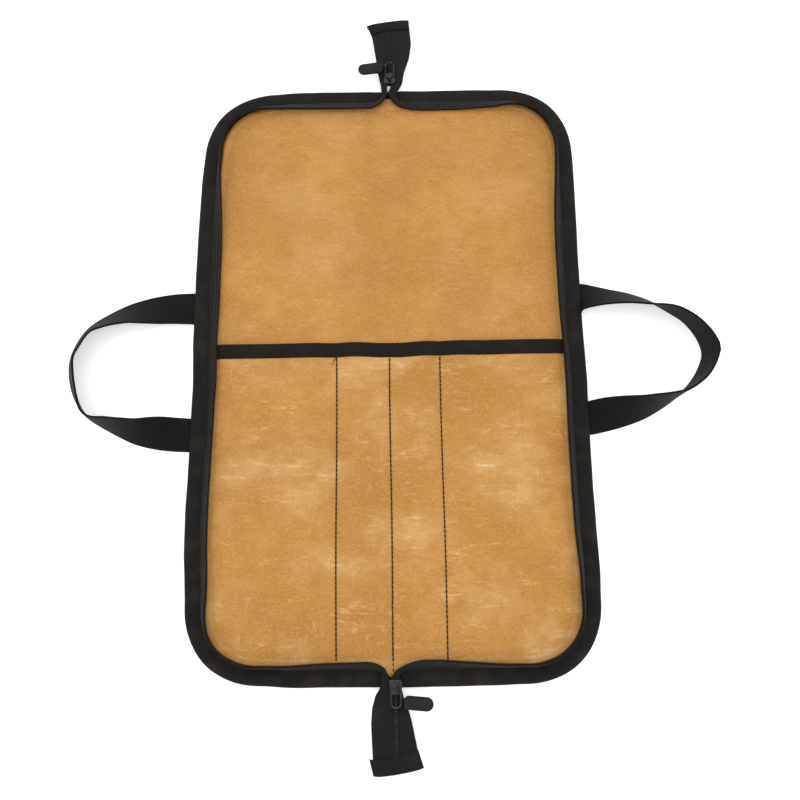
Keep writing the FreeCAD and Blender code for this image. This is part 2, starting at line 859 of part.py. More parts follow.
def pull_tab(name, front):
    """The grip with its wire eye round the link's left side, pointing to -X."""
    level = value(SLIDER_TOP + " + {link_lift}")
    middle = value(front + " + {tab_middle}")
    pivot = -value("{link_half}")
    eye_at = Vector(pivot - value("{eye_shift}"), middle, level)
    eye = Part.makeTorus(value("{eye_radius}"), value("{eye_wire} / 2"), eye_at, Vector(0, 1, 0))
    start = pivot - value("{tab_from}")
    thick = value("{tab_thick}")
    radius = value("{tab_width} / 2")
    neck = value("{tab_neck} / 2")
    end = start - value("{tab_length}")
    low = level - thick / 2
    corners = [
        Vector(start, middle - neck, low),
        Vector(end + radius, middle - radius, low),
        Vector(end + radius, middle + radius, low),
        Vector(start, middle + neck, low),
    ]
    outline = Part.Wire(
        [
            Part.LineSegment(corners[0], corners[1]).toShape(),
            Part.Arc(corners[1], Vector(end, middle, low), corners[2]).toShape(),
            Part.LineSegment(corners[2], corners[3]).toShape(),
            Part.LineSegment(corners[3], corners[0]).toShape(),
        ]
    )
    grip = Part.Face(outline).extrude(Vector(0, 0, thick))
    tab = doc.addObject("Part::Feature", name)
    tab.Shape = grip.fuse(eye).removeSplitter()
    return tab


def shifted(name, source, across):
    """source moved along the row's X axis by a formula."""
    made = group(name, [source])
    made.setExpression("Placement.Base.x", in_sheet(across))
    return made


def turned(name, source):
    """source turned half a turn about the row's Z axis."""
    made = group(name, [source])
    made.Placement = FreeCAD.Placement(Vector(0, 0, 0), FreeCAD.Rotation(Vector(0, 0, 1), 180))
    return made


AFTER_HALF_TURN = {
    "tail_left_tape": "tail_right_tape",
    "tail_right_tape": "tail_left_tape",
    "tail_left_coil": "tail_right_coil",
    "tail_right_coil": "tail_left_coil",
}
TAIL_STRIPS = ("tail_left_tape", "tail_right_tape", "tail_left_coil", "tail_right_coil")
for end in ("top", "bottom"):
    tail_end = "{%s_tail_end}" % end
    front = "{%s_slider_front}" % end
    tape = tail_tape(end + "_tail_tape", tail_end)
    coil = tail_coil(end + "_tail_coil", tail_end)
    pieces = {
        "tape_roots": tape_roots(end + "_tape_root_pair"),
        "tail_left_tape": tape,
        "tail_right_tape": mirrored(end + "_tail_tape_mirrored", tape, Vector(1, 0, 0)),
        "tail_left_coil": coil,
        "tail_right_coil": mirrored(end + "_tail_coil_mirrored", coil, Vector(1, 0, 0)),
        "end_tab": end_tab(end + "_tail_tab", tail_end, "{%s_tab_length}" % end),
        "slider": slider(end + "_slider_body", front),
        "slider_bail": bail(end + "_bail", front),
        "pull_link": pull_link(end + "_link", front),
        "pull_tab": pull_tab(end + "_tab", front),
    }
    doc.recompute()
    inside_tab = fuse(end + "_tab_contents", [pieces[name] for name in TAIL_STRIPS])
    pieces["end_tab"] = cut(end + "_tail_tab_folded", pieces["end_tab"], inside_tab)
    doc.recompute()
    for piece_name, piece in pieces.items():
        if piece_name != "tape_roots":
            piece = shifted("%s_%s_shifted" % (end, piece_name), piece, "{%s_tail_shift}" % end)
        if end == "bottom":
            piece = turned(end + "_" + piece_name + "_turned", piece)
            piece_name = AFTER_HALF_TURN.get(piece_name, piece_name)
        keep(piece, "%s_%s" % (end, piece_name))


# --- check everything, then write one file for each sub-part --------------------------------------

doc.recompute()
for thing in doc.Objects:
    bad = [state for state in thing.State if state in ("Invalid", "Error")]
    if bad:
        raise RuntimeError("%s is %s" % (thing.Label, bad))
os.makedirs("parts", exist_ok=True)
for thing in NODES:
    if thing.Shape.isNull() or not thing.Shape.isValid() or not thing.Shape.Solids:
        raise RuntimeError("%s has no valid solid" % thing.Label)
for thing in NODES:
    thing.Shape.exportStep("parts/%s.step" % thing.Label)
print(len(NODES), "sub-parts written")
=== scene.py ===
"""Looks of the zip-around carving tool case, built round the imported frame.

The cloth, the tapes, the coils, the handles and the pulls each have their own part of this file. Lengths are
in millimetres until a mesh is made. Every cloth piece has a flat "cloth" coordinate in metres, which the
weaves, creases and ribs follow.
"""
import math

import bpy
import numpy as np
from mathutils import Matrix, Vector, noise


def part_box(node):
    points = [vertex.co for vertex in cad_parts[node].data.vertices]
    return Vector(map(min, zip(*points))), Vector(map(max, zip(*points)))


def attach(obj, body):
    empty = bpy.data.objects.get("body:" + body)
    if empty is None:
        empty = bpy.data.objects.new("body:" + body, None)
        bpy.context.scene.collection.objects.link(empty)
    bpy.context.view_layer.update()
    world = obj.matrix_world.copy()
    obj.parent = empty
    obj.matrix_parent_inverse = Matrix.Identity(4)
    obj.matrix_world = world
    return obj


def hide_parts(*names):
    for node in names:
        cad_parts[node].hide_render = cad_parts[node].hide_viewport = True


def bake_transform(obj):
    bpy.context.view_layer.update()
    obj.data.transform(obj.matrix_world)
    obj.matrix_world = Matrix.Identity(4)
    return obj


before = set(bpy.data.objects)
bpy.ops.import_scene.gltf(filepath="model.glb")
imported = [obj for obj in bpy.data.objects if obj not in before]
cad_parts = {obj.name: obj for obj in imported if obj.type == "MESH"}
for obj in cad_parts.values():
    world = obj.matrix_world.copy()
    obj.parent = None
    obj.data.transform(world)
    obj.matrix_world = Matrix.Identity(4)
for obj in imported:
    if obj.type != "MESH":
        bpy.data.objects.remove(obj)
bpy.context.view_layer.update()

METRES = 0.001
SIDES = {"left": -1, "right": 1}
ENDS = {"top": 1, "bottom": -1}


# --- the frame's own sizes ---


def node_box(node):
    """The lowest and highest corners of a CAD node, in millimetres."""
    low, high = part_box(node)
    return np.array(low) / METRES, np.array(high) / METRES


HALF_WIDTH, HALF_LENGTH, BINDING_TOP = node_box("right_binding")[1]
CORNER_RADIUS = 57.0
BINDING_WIDTH = 10.6
PANEL_TOP_Y = node_box("right_pocket_panel")[1][1]
SEAM_X = {"left": 39.4, "right": 37.6}
CORNER_X = HALF_WIDTH - CORNER_RADIUS
CORNER_Y = HALF_LENGTH - CORNER_RADIUS


# --- small helpers ---


def smooth(value, low, high):
    """0 before low, 1 after high, and a smooth rise between."""
    part = np.clip((value - low) / (high - low), 0.0, 1.0)
    return part * part * (3 - 2 * part)


def hump(value, middle, half_width):
    """A smooth hump of height 1."""
    return np.exp(-(((value - middle) / half_width) ** 2))


def unit(vectors):
    """Rows of vectors, each scaled to a length of 1."""
    return vectors / np.linalg.norm(vectors, axis=1)[:, None]


def upright(count, rise=1.0):
    """The vertical direction, once for each of count points."""
    return np.tile((0.0, 0.0, rise), (count, 1))


def from_table(table, place):
    """A value read at a place from (place, value) rows, with straight runs between them."""
    places, values = np.array(table, float).T
    return np.interp(place, places, values)


def piece_from(name, points, faces, cloth=None, sharp_degrees=50):
    """A piece from points, with each point's place on the flat cloth, all in millimetres."""
    mesh = bpy.data.meshes.new(name)
    mesh.from_pydata((np.asarray(points, float) * METRES).tolist(), [], faces)
    if cloth is not None:
        layer = mesh.uv_layers.new(name="cloth")
        corners = np.empty(len(mesh.loops), int)
        mesh.loops.foreach_get("vertex_index", corners)
        flat = np.asarray(cloth, float)[corners] * METRES
        layer.data.foreach_set("uv", flat.ravel())
    mesh.update()
    piece = bpy.data.objects.new(name, mesh)
    bpy.context.collection.objects.link(piece)
    soften(piece, sharp_degrees)
    return piece


def soften(piece, sharp_degrees=50):
    """Smooth shading, with edges sharper than the angle kept crisp."""
    piece.data.polygons.foreach_set("use_smooth", [True] * len(piece.data.polygons))
    piece.data.set_sharp_from_angle(angle=math.radians(sharp_degrees))


def thickened(piece, thickness, offset=-1.0):
    """Gives a sheet its thickness: behind the surface for an offset of -1, and half on each side for 0."""
    modifier = piece.modifiers.new("thickness", "SOLIDIFY")
    modifier.thickness = thickness * METRES
    modifier.offset = offset
    modifier.use_even_offset = False
    modifier.use_quality_normals = True
    graph = bpy.context.evaluated_depsgraph_get()
    graph.update()
    evaluated = piece.evaluated_get(graph)
    solid = bpy.data.meshes.new_from_object(evaluated, preserve_all_data_layers=True, depsgraph=graph)
    piece.modifiers.clear()
    open_sheet = piece.data
    piece.data = solid
    bpy.data.meshes.remove(open_sheet)
    soften(piece)
    return piece


def grid_faces(rows, columns, flip=False, wrap=False):
    """Faces of a grid of rows by columns of points; wrap joins the last column to the first."""
    faces = []
    for row in range(rows - 1):
        for column in range(columns if wrap else columns - 1):
            after = (column + 1) % columns
            face = (
                row * columns + column,
                row * columns + after,
                (row + 1) * columns + after,
                (row + 1) * columns + column,
            )
            faces.append(face[::-1] if flip else face)
    return faces


def lengths_along(points):
    """The running length of a line of points."""
    steps = np.linalg.norm(np.diff(points, axis=0), axis=1)
    return np.concatenate([[0.0], np.cumsum(steps)])


def ribbon(name, sections, thickness, flip=False, offset=0.0):
    """A strip of cloth through a list of sections, each a line of points across the strip."""
    sections = np.asarray(sections, float)
    rows, columns, _ = sections.shape
    along = lengths_along(sections[:, columns // 2])
    cloth = np.zeros((rows, columns, 2))
    cloth[:, :, 0] = along[:, None]
    for row in range(rows):
        cloth[row, :, 1] = lengths_along(sections[row])
    piece = piece_from(name, sections.reshape(-1, 3), grid_faces(rows, columns, flip), cloth.reshape(-1, 2))
    return thickened(piece, thickness, offset)


def line_at(points, along, spots):
    """The places on a line of points at some running lengths."""
    return np.column_stack([np.interp(spots, along, points[:, axis]) for axis in range(3)])


def frames_along(points):
    """Two directions across a line at each of its points, turning as little as they can."""
    tangents = unit(np.gradient(np.asarray(points, float), axis=0))
    across = np.cross(tangents[0], (0.0, 0.0, 1.0))
    if np.linalg.norm(across) < 0.1:
        across = np.cross(tangents[0], (1.0, 0.0, 0.0))
    firsts = []
    for tangent in tangents:
        across = across - tangent * np.dot(across, tangent)
        across /= np.linalg.norm(across)
        firsts.append(across.copy())
    firsts = np.array(firsts)
    return firsts, np.cross(tangents, firsts)


def tube_points(points, radius, around, closed=False):
    """Points and faces of a round tube along a line, with capped ends unless it is closed."""
    points = np.asarray(points, float)
    count = len(points)
    if closed:
        tangents = unit(np.roll(points, -1, axis=0) - np.roll(points, 1, axis=0))
        normal = np.cross(points[1] - points[0], points[2] - points[1])
        seconds = np.tile(normal / np.linalg.norm(normal), (count, 1))
        firsts = np.cross(seconds, tangents)
    else:
        firsts, seconds = frames_along(points)
    turns = np.arange(around) * 2 * math.pi / around
    ring = firsts[:, None] * np.cos(turns)[None, :, None] + seconds[:, None] * np.sin(turns)[None, :, None]
    radii = np.broadcast_to(np.asarray(radius, float), (count,))
    places = points[:, None] + ring * radii[:, None, None]
    faces = grid_faces(count, around, wrap=True)
    last = (count - 1) * around
    if closed:
        for spot in range(around):
            after = (spot + 1) % around
            faces.append((last + spot, last + after, after, spot))
    else:
        faces.append(tuple(range(around))[::-1])
        faces.append(tuple(range(last, last + around)))
    return places.reshape(-1, 3), faces


def tube(name, points, radius, around):
    """A round tube along a line."""
    places, faces = tube_points(points, radius, around)
    along = np.repeat(lengths_along(np.asarray(points, float)), around)
    spots = np.tile(np.arange(around) * 2 * math.pi * np.max(radius) / around, len(points))
    return piece_from(name, places, faces, np.stack([along, spots], axis=1), sharp_degrees=60)


def merged(parts):
    """Several sets of points and faces as one set."""
    all_points = []
    all_faces = []
    start = 0
    for points, faces in parts:
        all_points.append(points)
        all_faces.extend(tuple(spot + start for spot in face) for face in faces)
        start += len(points)
    return np.concatenate(all_points), all_faces


STITCH_SIDES = 6
STITCH_SHARES = np.linspace(0.0, 1.0, 6)
STITCH_ENDS_BURIED = 0.25
POCKET_THREAD = 0.52
FINE_THREAD = 0.22
FINEST_THREAD = 0.2


def joined_lines(name, lines, radius):
    """Many short tubes in one piece, such as stitches."""
    points, faces = merged([tube_points(line, radius, STITCH_SIDES) for line in lines])
    cloth = []
    for line in lines:
        along = np.repeat(lengths_along(np.asarray(line, float)), STITCH_SIDES)
        cloth.append(np.column_stack([along, np.tile(np.arange(STITCH_SIDES) * 1.0, len(line))]))
    return piece_from(name, points, faces, np.concatenate(cloth), sharp_degrees=70)


def stitches_along(points, normals, length, gap, rise):
    """Short raised lines, one for each stitch of a seam along a line."""
    points = np.asarray(points, float)
    along = lengths_along(points)
    arch = np.sin(STITCH_SHARES * math.pi) ** 0.5
    heights = (rise * arch - STITCH_ENDS_BURIED * (1 - arch))[:, None]
    lines = []
    start = gap / 2
    while start + length < along[-1]:
        spots = start + STITCH_SHARES * length
        lines.append(line_at(points, along, spots) + unit(line_at(normals, along, spots)) * heights)
        start += length + gap
    return lines


# --- materials ---


def linear(red, green, blue):
    """A colour given as it looks on a screen, from 0 to 255, in the light it stands for."""
    parts = []
    for part in (red, green, blue):
        share = part / 255
        parts.append(share / 12.92 if share <= 0.04045 else ((share + 0.055) / 1.055) ** 2.4)
    return (*parts, 1.0)


class Recipe:
    """One procedural material, built node by node over the flat cloth coordinate."""

    def __init__(self, name, roughness=0.8, metallic=0.0, coordinate="UV"):
        self.material = bpy.data.materials.new(name)
        self.material.use_nodes = True
        self.tree = self.material.node_tree
        self.shader = self.tree.nodes["Principled BSDF"]
        self.shader.inputs["Roughness"].default_value = roughness
        self.shader.inputs["Metallic"].default_value = metallic
        self.place = self.tree.nodes.new("ShaderNodeTexCoord").outputs[coordinate]
        self.height = None

    def node(self, kind, inputs=(), **settings):
        """A new node with its settings, and its inputs as numbers or as other nodes' outputs."""
        made = self.tree.nodes.new(kind)
        for setting, value in settings.items():
            setattr(made, setting, value)
        for slot, value in dict(inputs).items():
            if isinstance(value, bpy.types.NodeSocket):
                self.tree.links.new(value, made.inputs[slot])
            else:
                made.inputs[slot].default_value = value
        return made

    def stretched(self, across, along, turn=0.0, move=0.0):
        """The cloth coordinate turned, moved and scaled differently in its two directions."""
        turned = {
            "Vector": self.place,
            "Rotation": (0.0, 0.0, math.radians(turn)),
            "Location": (move, move * 0.7, 0.0),
        }
        vector = self.node("ShaderNodeMapping", turned).outputs["Vector"]
        scaled = {"Vector": vector, "Scale": (across, along, 1.0)}
        return self.node("ShaderNodeMapping", scaled).outputs["Vector"]

    def noise(self, scale, detail=3.0, roughness=0.5, across=1.0, along=1.0, turn=0.0, move=0.0):
        """Soft noise, from 0 to 1, with about scale blobs in a metre."""
        vector = self.stretched(across, along, turn, move)
        inputs = {"Vector": vector, "Scale": scale, "Detail": detail, "Roughness": roughness}
        return self.node("ShaderNodeTexNoise", inputs).outputs["Fac"]

    def bands(self, pitch, direction, distortion=0.0):
        """Regular bands, pitch millimetres apart, that cross the X or Y direction of the cloth."""
        return self.node(
            "ShaderNodeTexWave",
            {
                "Vector": self.stretched(1.0, 1.0),
                "Scale": 2 * math.pi / 20 / (pitch * METRES),
                "Distortion": distortion,
                "Detail": 1.0,
                "Detail Scale": 1.5,
            },
            wave_type="BANDS",
            bands_direction=direction,
        ).outputs["Fac"]

    def math(self, operation, first, second=0.0):
        """Arithmetic on numbers or outputs."""
        return self.node("ShaderNodeMath", {0: first, 1: second}, operation=operation).outputs[0]

    def times(self, first, second):
        """The product of two numbers or outputs."""
        return self.math("MULTIPLY", first, second)

    def span(self, value, low, high, to_low=0.0, to_high=1.0):
        """value carried smoothly from low..high to to_low..to_high, and held beyond."""
        return self.node(
            "ShaderNodeMapRange",
            {"Value": value, "From Min": low, "From Max": high, "To Min": to_low, "To Max": to_high},
            interpolation_type="SMOOTHSTEP",
        ).outputs["Result"]

    def mixed(self, share, first, second):
        """Two colours mixed by a share."""
        made = self.node("ShaderNodeMix", data_type="RGBA")
        for socket, value in ((made.inputs[0], share), (made.inputs[6], first), (made.inputs[7], second)):
            if isinstance(value, bpy.types.NodeSocket):
                self.tree.links.new(value, socket)
            else:
                socket.default_value = value
        return made.outputs[2]

    def tinted(self, colour, share, strength, tint):
        """A colour pulled towards a tint by a share times a strength."""
        return self.mixed(self.times(share, strength), colour, tint)

    def bump(self, height, depth):
        """Adds relief, depth millimetres deep, to what is already there."""
        made = self.node("ShaderNodeBump", {"Height": height, "Distance": depth * METRES, "Strength": 1.0})
        if self.height is not None:
            self.tree.links.new(self.height, made.inputs["Normal"])
        self.height = made.outputs["Normal"]

    def finish(self, colour=None, roughness=None, sheen=0.0, specular=0.5):
        """Joins the colour, roughness, sheen and relief to the shader."""
        for name, value in (("Base Color", colour), ("Roughness", roughness), ("Normal", self.height)):
            if isinstance(value, bpy.types.NodeSocket):
                self.tree.links.new(value, self.shader.inputs[name])
            elif value is not None:
                self.shader.inputs[name].default_value = value
        self.shader.inputs["Sheen Weight"].default_value = sheen
        self.shader.inputs["Sheen Roughness"].default_value = 0.6
        self.shader.inputs["Specular IOR Level"].default_value = specular
        return self.material


def waxed_canvas(name, crease_turn, crease_share, move):
    """Tan waxed cotton canvas: a plain weave with slubs, soft patches and short pale creases."""
    recipe = Recipe(name, roughness=0.82)
    patches = recipe.span(recipe.noise(16, 3, move=move), 0.33, 0.68)
    colour = recipe.mixed(patches, linear(171, 117, 51), linear(187, 133, 64))
    blotches = recipe.span(recipe.noise(75, 4, 0.6, move=move + 3), 0.36, 0.70)
    colour = recipe.tinted(colour, blotches, 0.5, linear(163, 109, 46))
    mottle = recipe.span(recipe.noise(420, 3, 0.6, move=move + 5), 0.38, 0.62)
    colour = recipe.tinted(colour, mottle, 0.3, linear(152, 100, 42))
    slubs_along = recipe.noise(1500, 2, 0.6, along=0.28, move=move)
    slubs_across = recipe.noise(1500, 2, 0.6, across=0.28, move=move + 1)
    slubs = recipe.times(recipe.math("ADD", slubs_along, slubs_across), 0.5)
    colour = recipe.tinted(colour, recipe.span(slubs, 0.36, 0.64), 0.42, linear(204, 156, 88))
    streaks = recipe.span(recipe.noise(620, 4, 0.7, across=0.14, turn=crease_turn, move=move + 6), 0.54, 0.74)
    colour = recipe.tinted(colour, streaks, 0.45, linear(214, 172, 108))

    clouds = recipe.span(recipe.noise(20, 5, 0.62, across=0.8, move=move + 8), 0.46, 0.70)
    scratches = recipe.noise(300, 4, 0.6, across=0.22, turn=crease_turn, move=move + 9)
    scratches = recipe.span(scratches, 0.52, 0.72)
    crossing = recipe.noise(300, 4, 0.6, across=0.12, turn=crease_turn + 90, move=move + 4)
    crossing = recipe.span(crossing, 0.56, 0.74)
    worn = recipe.times(clouds, recipe.math("MAXIMUM", scratches, recipe.times(crossing, 0.6)))
    pale = recipe.math("ADD", recipe.times(clouds, 0.35), recipe.times(worn, 0.65))
    fold_lines = ((70, crease_turn, 0.022, 0.45), (90, crease_turn + 84, 0.018, 0.3))
    for number, (scale, turn, narrow, strength) in enumerate(fold_lines):
        wander = recipe.noise(scale, 4, 0.6, across=0.2, turn=turn, move=move + number * 5)
        from_middle = recipe.math("ABSOLUTE", recipe.math("SUBTRACT", wander, 0.5))
        line = recipe.span(from_middle, 0.0, narrow, strength, 0.0)
        where = recipe.noise(45, 4, 0.65, move=move + 11 + number * 7)
        pale = recipe.math("MAXIMUM", pale, recipe.times(line, recipe.span(where, 0.48, 0.66)))
    colour = recipe.tinted(colour, pale, crease_share, linear(222, 186, 132))

    weave = recipe.times(recipe.bands(0.62, "X", distortion=0.4), recipe.bands(0.62, "Y", distortion=0.4))
    recipe.bump(slubs, 0.16)
    recipe.bump(weave, 0.06)
    recipe.bump(pale, 0.06)
    return recipe.finish(colour, recipe.span(blotches, 0.0, 1.0, 0.72, 0.88), sheen=0.04, specular=0.25)


def black_tape(name, pitch, depth, direction, dark, light, roughness, twill=False):
    """Black woven tape: ribs or a fine twill, with faint wear and dust."""
    recipe = Recipe(name, roughness=roughness)
    dusty = recipe.span(recipe.noise(55, 4, 0.6), 0.42, 0.75)
    fibres = recipe.noise(1800, 2, 0.6, across=0.4)
    colour = recipe.mixed(recipe.times(dusty, recipe.span(fibres, 0.3, 0.7, 0.35, 1.0)), dark, light)
    ribs = recipe.bands(pitch, direction)
    colour = recipe.tinted(colour, ribs, 0.35, light)
    recipe.bump(fibres, 0.05)
    recipe.bump(recipe.bands(pitch, "DIAGONAL") if twill else ribs, depth)
    rough = recipe.span(fibres, 0.2, 0.8, roughness - 0.08, roughness + 0.08)
    return recipe.finish(colour, rough, sheen=0.02, specular=0.16)


def webbing_weave(name):
    """Black webbing: fine checks of ribs, a little dust and a fuzz of fibres."""
    recipe = Recipe(name, roughness=0.78)
    fibres = recipe.noise(1500, 2, 0.6, across=0.35)
    dusty = recipe.span(recipe.noise(40, 4, 0.6), 0.4, 0.75)
    colour = recipe.tinted(linear(11, 10, 9), dusty, 0.5, linear(26, 24, 22))
    checks = recipe.times(recipe.bands(1.5, "X"), recipe.bands(2.1, "Y"))
    colour = recipe.tinted(colour, checks, 0.35, linear(34, 31, 28))
    recipe.bump(checks, 0.22)
    recipe.bump(fibres, 0.06)
    return recipe.finish(colour, recipe.span(fibres, 0.2, 0.8, 0.68, 0.86), sheen=0.02, specular=0.12)


def thread_twist(name, dark, light):
    """Thick sewing thread: two strands twisted, a little lighter where it rubs."""
    recipe = Recipe(name, roughness=0.62)
    strands = recipe.bands(0.8, "DIAGONAL")
    rubbed = recipe.span(recipe.noise(260, 3, 0.6), 0.45, 0.7)
    colour = recipe.tinted(dark, rubbed, 0.6, light)
    recipe.bump(strands, 0.12)
    return recipe.finish(colour, 0.6, sheen=0.03, specular=0.25)


def satin_metal(name):
    """Gunmetal plating: satin, with fine brushing, small scuffs and finger marks."""
    recipe = Recipe(name, roughness=0.34, metallic=1.0, coordinate="Object")
    smudge = recipe.span(recipe.noise(260, 3, 0.6), 0.35, 0.7)
    scuffs = recipe.span(recipe.noise(1400, 4, 0.7, across=0.3), 0.62, 0.72)
    colour = recipe.mixed(smudge, linear(50, 49, 50), linear(74, 73, 74))
    colour = recipe.tinted(colour, scuffs, 0.5, linear(120, 118, 114))
    recipe.bump(recipe.noise(2600, 3, 0.6, across=0.2), 0.02)
    return recipe.finish(colour, recipe.span(smudge, 0.0, 1.0, 0.28, 0.46))


def coil_plastic(name):
    """Nylon coil: dark grey, slightly glossy, paler where the slider has rubbed it."""
    recipe = Recipe(name, roughness=0.42)
    rubbed = recipe.span(recipe.noise(180, 3, 0.6), 0.4, 0.7)
    colour = recipe.mixed(rubbed, linear(16, 15, 14), linear(34, 32, 30))
    recipe.bump(recipe.noise(2400, 2, 0.5), 0.02)
    return recipe.finish(colour, recipe.span(rubbed, 0.0, 1.0, 0.4, 0.55), specular=0.3)


def moulded_grip(name):
    """Matt moulded rubber with a fine grain and slight scuffs."""
    recipe = Recipe(name, roughness=0.62, coordinate="Object")
    grain = recipe.noise(3200, 3, 0.6)
    scuffs = recipe.span(recipe.noise(420, 4, 0.65, across=0.4), 0.56, 0.74)
    colour = recipe.mixed(scuffs, linear(20, 20, 19), linear(40, 40, 38))
    recipe.bump(grain, 0.06)
    return recipe.finish(colour, recipe.span(grain, 0.2, 0.8, 0.52, 0.7), specular=0.25)


def foam_cells(name):
    """Closed-cell foam: pale grey, with fine pores."""
    recipe = Recipe(name, roughness=0.95)
    pores = recipe.noise(2200, 3, 0.6)
    colour = recipe.mixed(recipe.span(pores, 0.35, 0.65), linear(190, 188, 182), linear(222, 220, 214))
    recipe.bump(pores, 0.15)
    return recipe.finish(colour)


def studio_paper(name):
    """The pale floor: a matt light table, with a very faint unevenness."""
    recipe = Recipe(name, roughness=0.9, coordinate="Object")
    faint = recipe.noise(6, 3, 0.5)
    colour = recipe.mixed(faint, (0.93, 0.93, 0.93, 1.0), (0.97, 0.97, 0.97, 1.0))
    recipe.shader.inputs["Emission Color"].default_value = (1.0, 1.0, 1.0, 1.0)
    recipe.shader.inputs["Emission Strength"].default_value = 0.4
    return recipe.finish(colour)


LINING_CLOTH = waxed_canvas("lining_canvas", crease_turn=4, crease_share=0.35, move=0.4)
PANEL_CLOTH = waxed_canvas("panel_canvas", crease_turn=2, crease_share=1.0, move=2.3)
OUTER_CLOTH = waxed_canvas("outer_canvas", crease_turn=35, crease_share=0.35, move=5.1)
BINDING_TAPE = black_tape("grosgrain_binding", 1.05, 0.22, "X", linear(13, 10, 8), linear(40, 36, 30), 0.72)
POCKET_TAPE = black_tape("grosgrain_pocket", 1.05, 0.22, "X", linear(14, 10, 6), linear(38, 30, 22), 0.74)
ZIP_TAPE = black_tape("zip_twill", 0.9, 0.08, "Y", linear(12, 10, 9), linear(34, 31, 28), 0.7, twill=True)
END_TAPE = black_tape("tab_twill", 1.2, 0.10, "X", linear(12, 11, 10), linear(31, 30, 28), 0.74, twill=True)
WEBBING = webbing_weave("webbing_weave")
BLACK_THREAD = thread_twist("black_thread", linear(20, 17, 14), linear(58, 48, 36))
# Pale thread for the coil's stitch rows. Its light colour is partly painted highlight: it stands for the whitish
# dotted glints along the zip wall as well as for the stitches.
ZIP_THREAD_WITH_PAINTED_GLINTS = thread_twist("zip_thread_painted_highlight", linear(62, 56, 48), linear(126, 114, 98))
METAL = satin_metal("gunmetal_satin")
COIL = coil_plastic("nylon_coil")
GRIP = moulded_grip("grip_rubber")
FOAM = foam_cells("foam_cells")
PAPER = studio_paper("studio_paper")


def dressed(piece, material):
    """Gives a piece its material."""
    piece.data.materials.clear()
    piece.data.materials.append(material)


def sewn(name, lines, radius, body, material=BLACK_THREAD):
    """The stitches of a seam as one piece of thread that moves with a body."""
    seam = joined_lines(name, lines, radius)
    dressed(seam, material)
    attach(seam, body)
    return seam


def half_nodes(side, part, *spine_nodes):
    """The CAD nodes a half's sheet stands for. The left half's sheets also stand for the spine's."""
    return [side + "_" + part, *(spine_nodes if side == "left" else ())]


def bends_at_fold(piece, side, *nodes):
    """Bakes a piece's placement into its points and hides the CAD nodes it stands for."""
    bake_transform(piece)
    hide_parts(*nodes)


# --- the case's outline ---

FINE_UNTIL = 32.0
COLUMNS = np.concatenate([np.arange(0.0, FINE_UNTIL, 1.25), np.linspace(FINE_UNTIL, CORNER_X, 25)])
ARC = CORNER_RADIUS * math.pi / 2
ARC_STEPS = 36
SIDE_STEPS = 136
FAR_FROM_SPINE = 200.0

# how far the edge is drawn in, from the top's middle round the side to the bottom's middle
CORNER_SHARES = (0.0, 0.2, 0.5, 0.8, 1.0)
SIDE_STATIONS = (160.0, 130.0, 80.0, 20.0, -15.0, -60.0, -100.0, -140.0, -160.0)
DRAWN_IN = {
    "left": (
        3.2, 3.2, 4.8, 5.6, 4.6, 4.8, 4.0, 2.4, 1.4, 0.8, 0.4, 2.0,
        1.6, 0.6, 0.6, 2.0, 3.2, 2.8, 1.4, 2.4, 3.0, 1.2, 0.6,
    ),
    "right": (
        2.8, 2.8, 3.4, 2.4, 0.6, 1.2, 1.0, 0.7, 0.8, 1.8, 2.0, 1.2,
        2.2, 2.6, 2.0, 1.6, 2.8, 2.0, 0.4, 1.0, 1.6, 0.8, 0.3,
    ),
}


def eased(values, reach):
    """Values at even steps, each averaged with its neighbours within reach steps."""
    padded = np.pad(values, reach, mode="edge")
    return np.convolve(padded, np.ones(2 * reach + 1) / (2 * reach + 1), mode="valid")


def noise_along(runs, scale, seed):
    """Smooth noise from -1 to 1 along a line, with blobs about scale millimetres long."""
    return np.array([noise.noise(Vector((seed, run / scale, 0.0))) for run in runs])


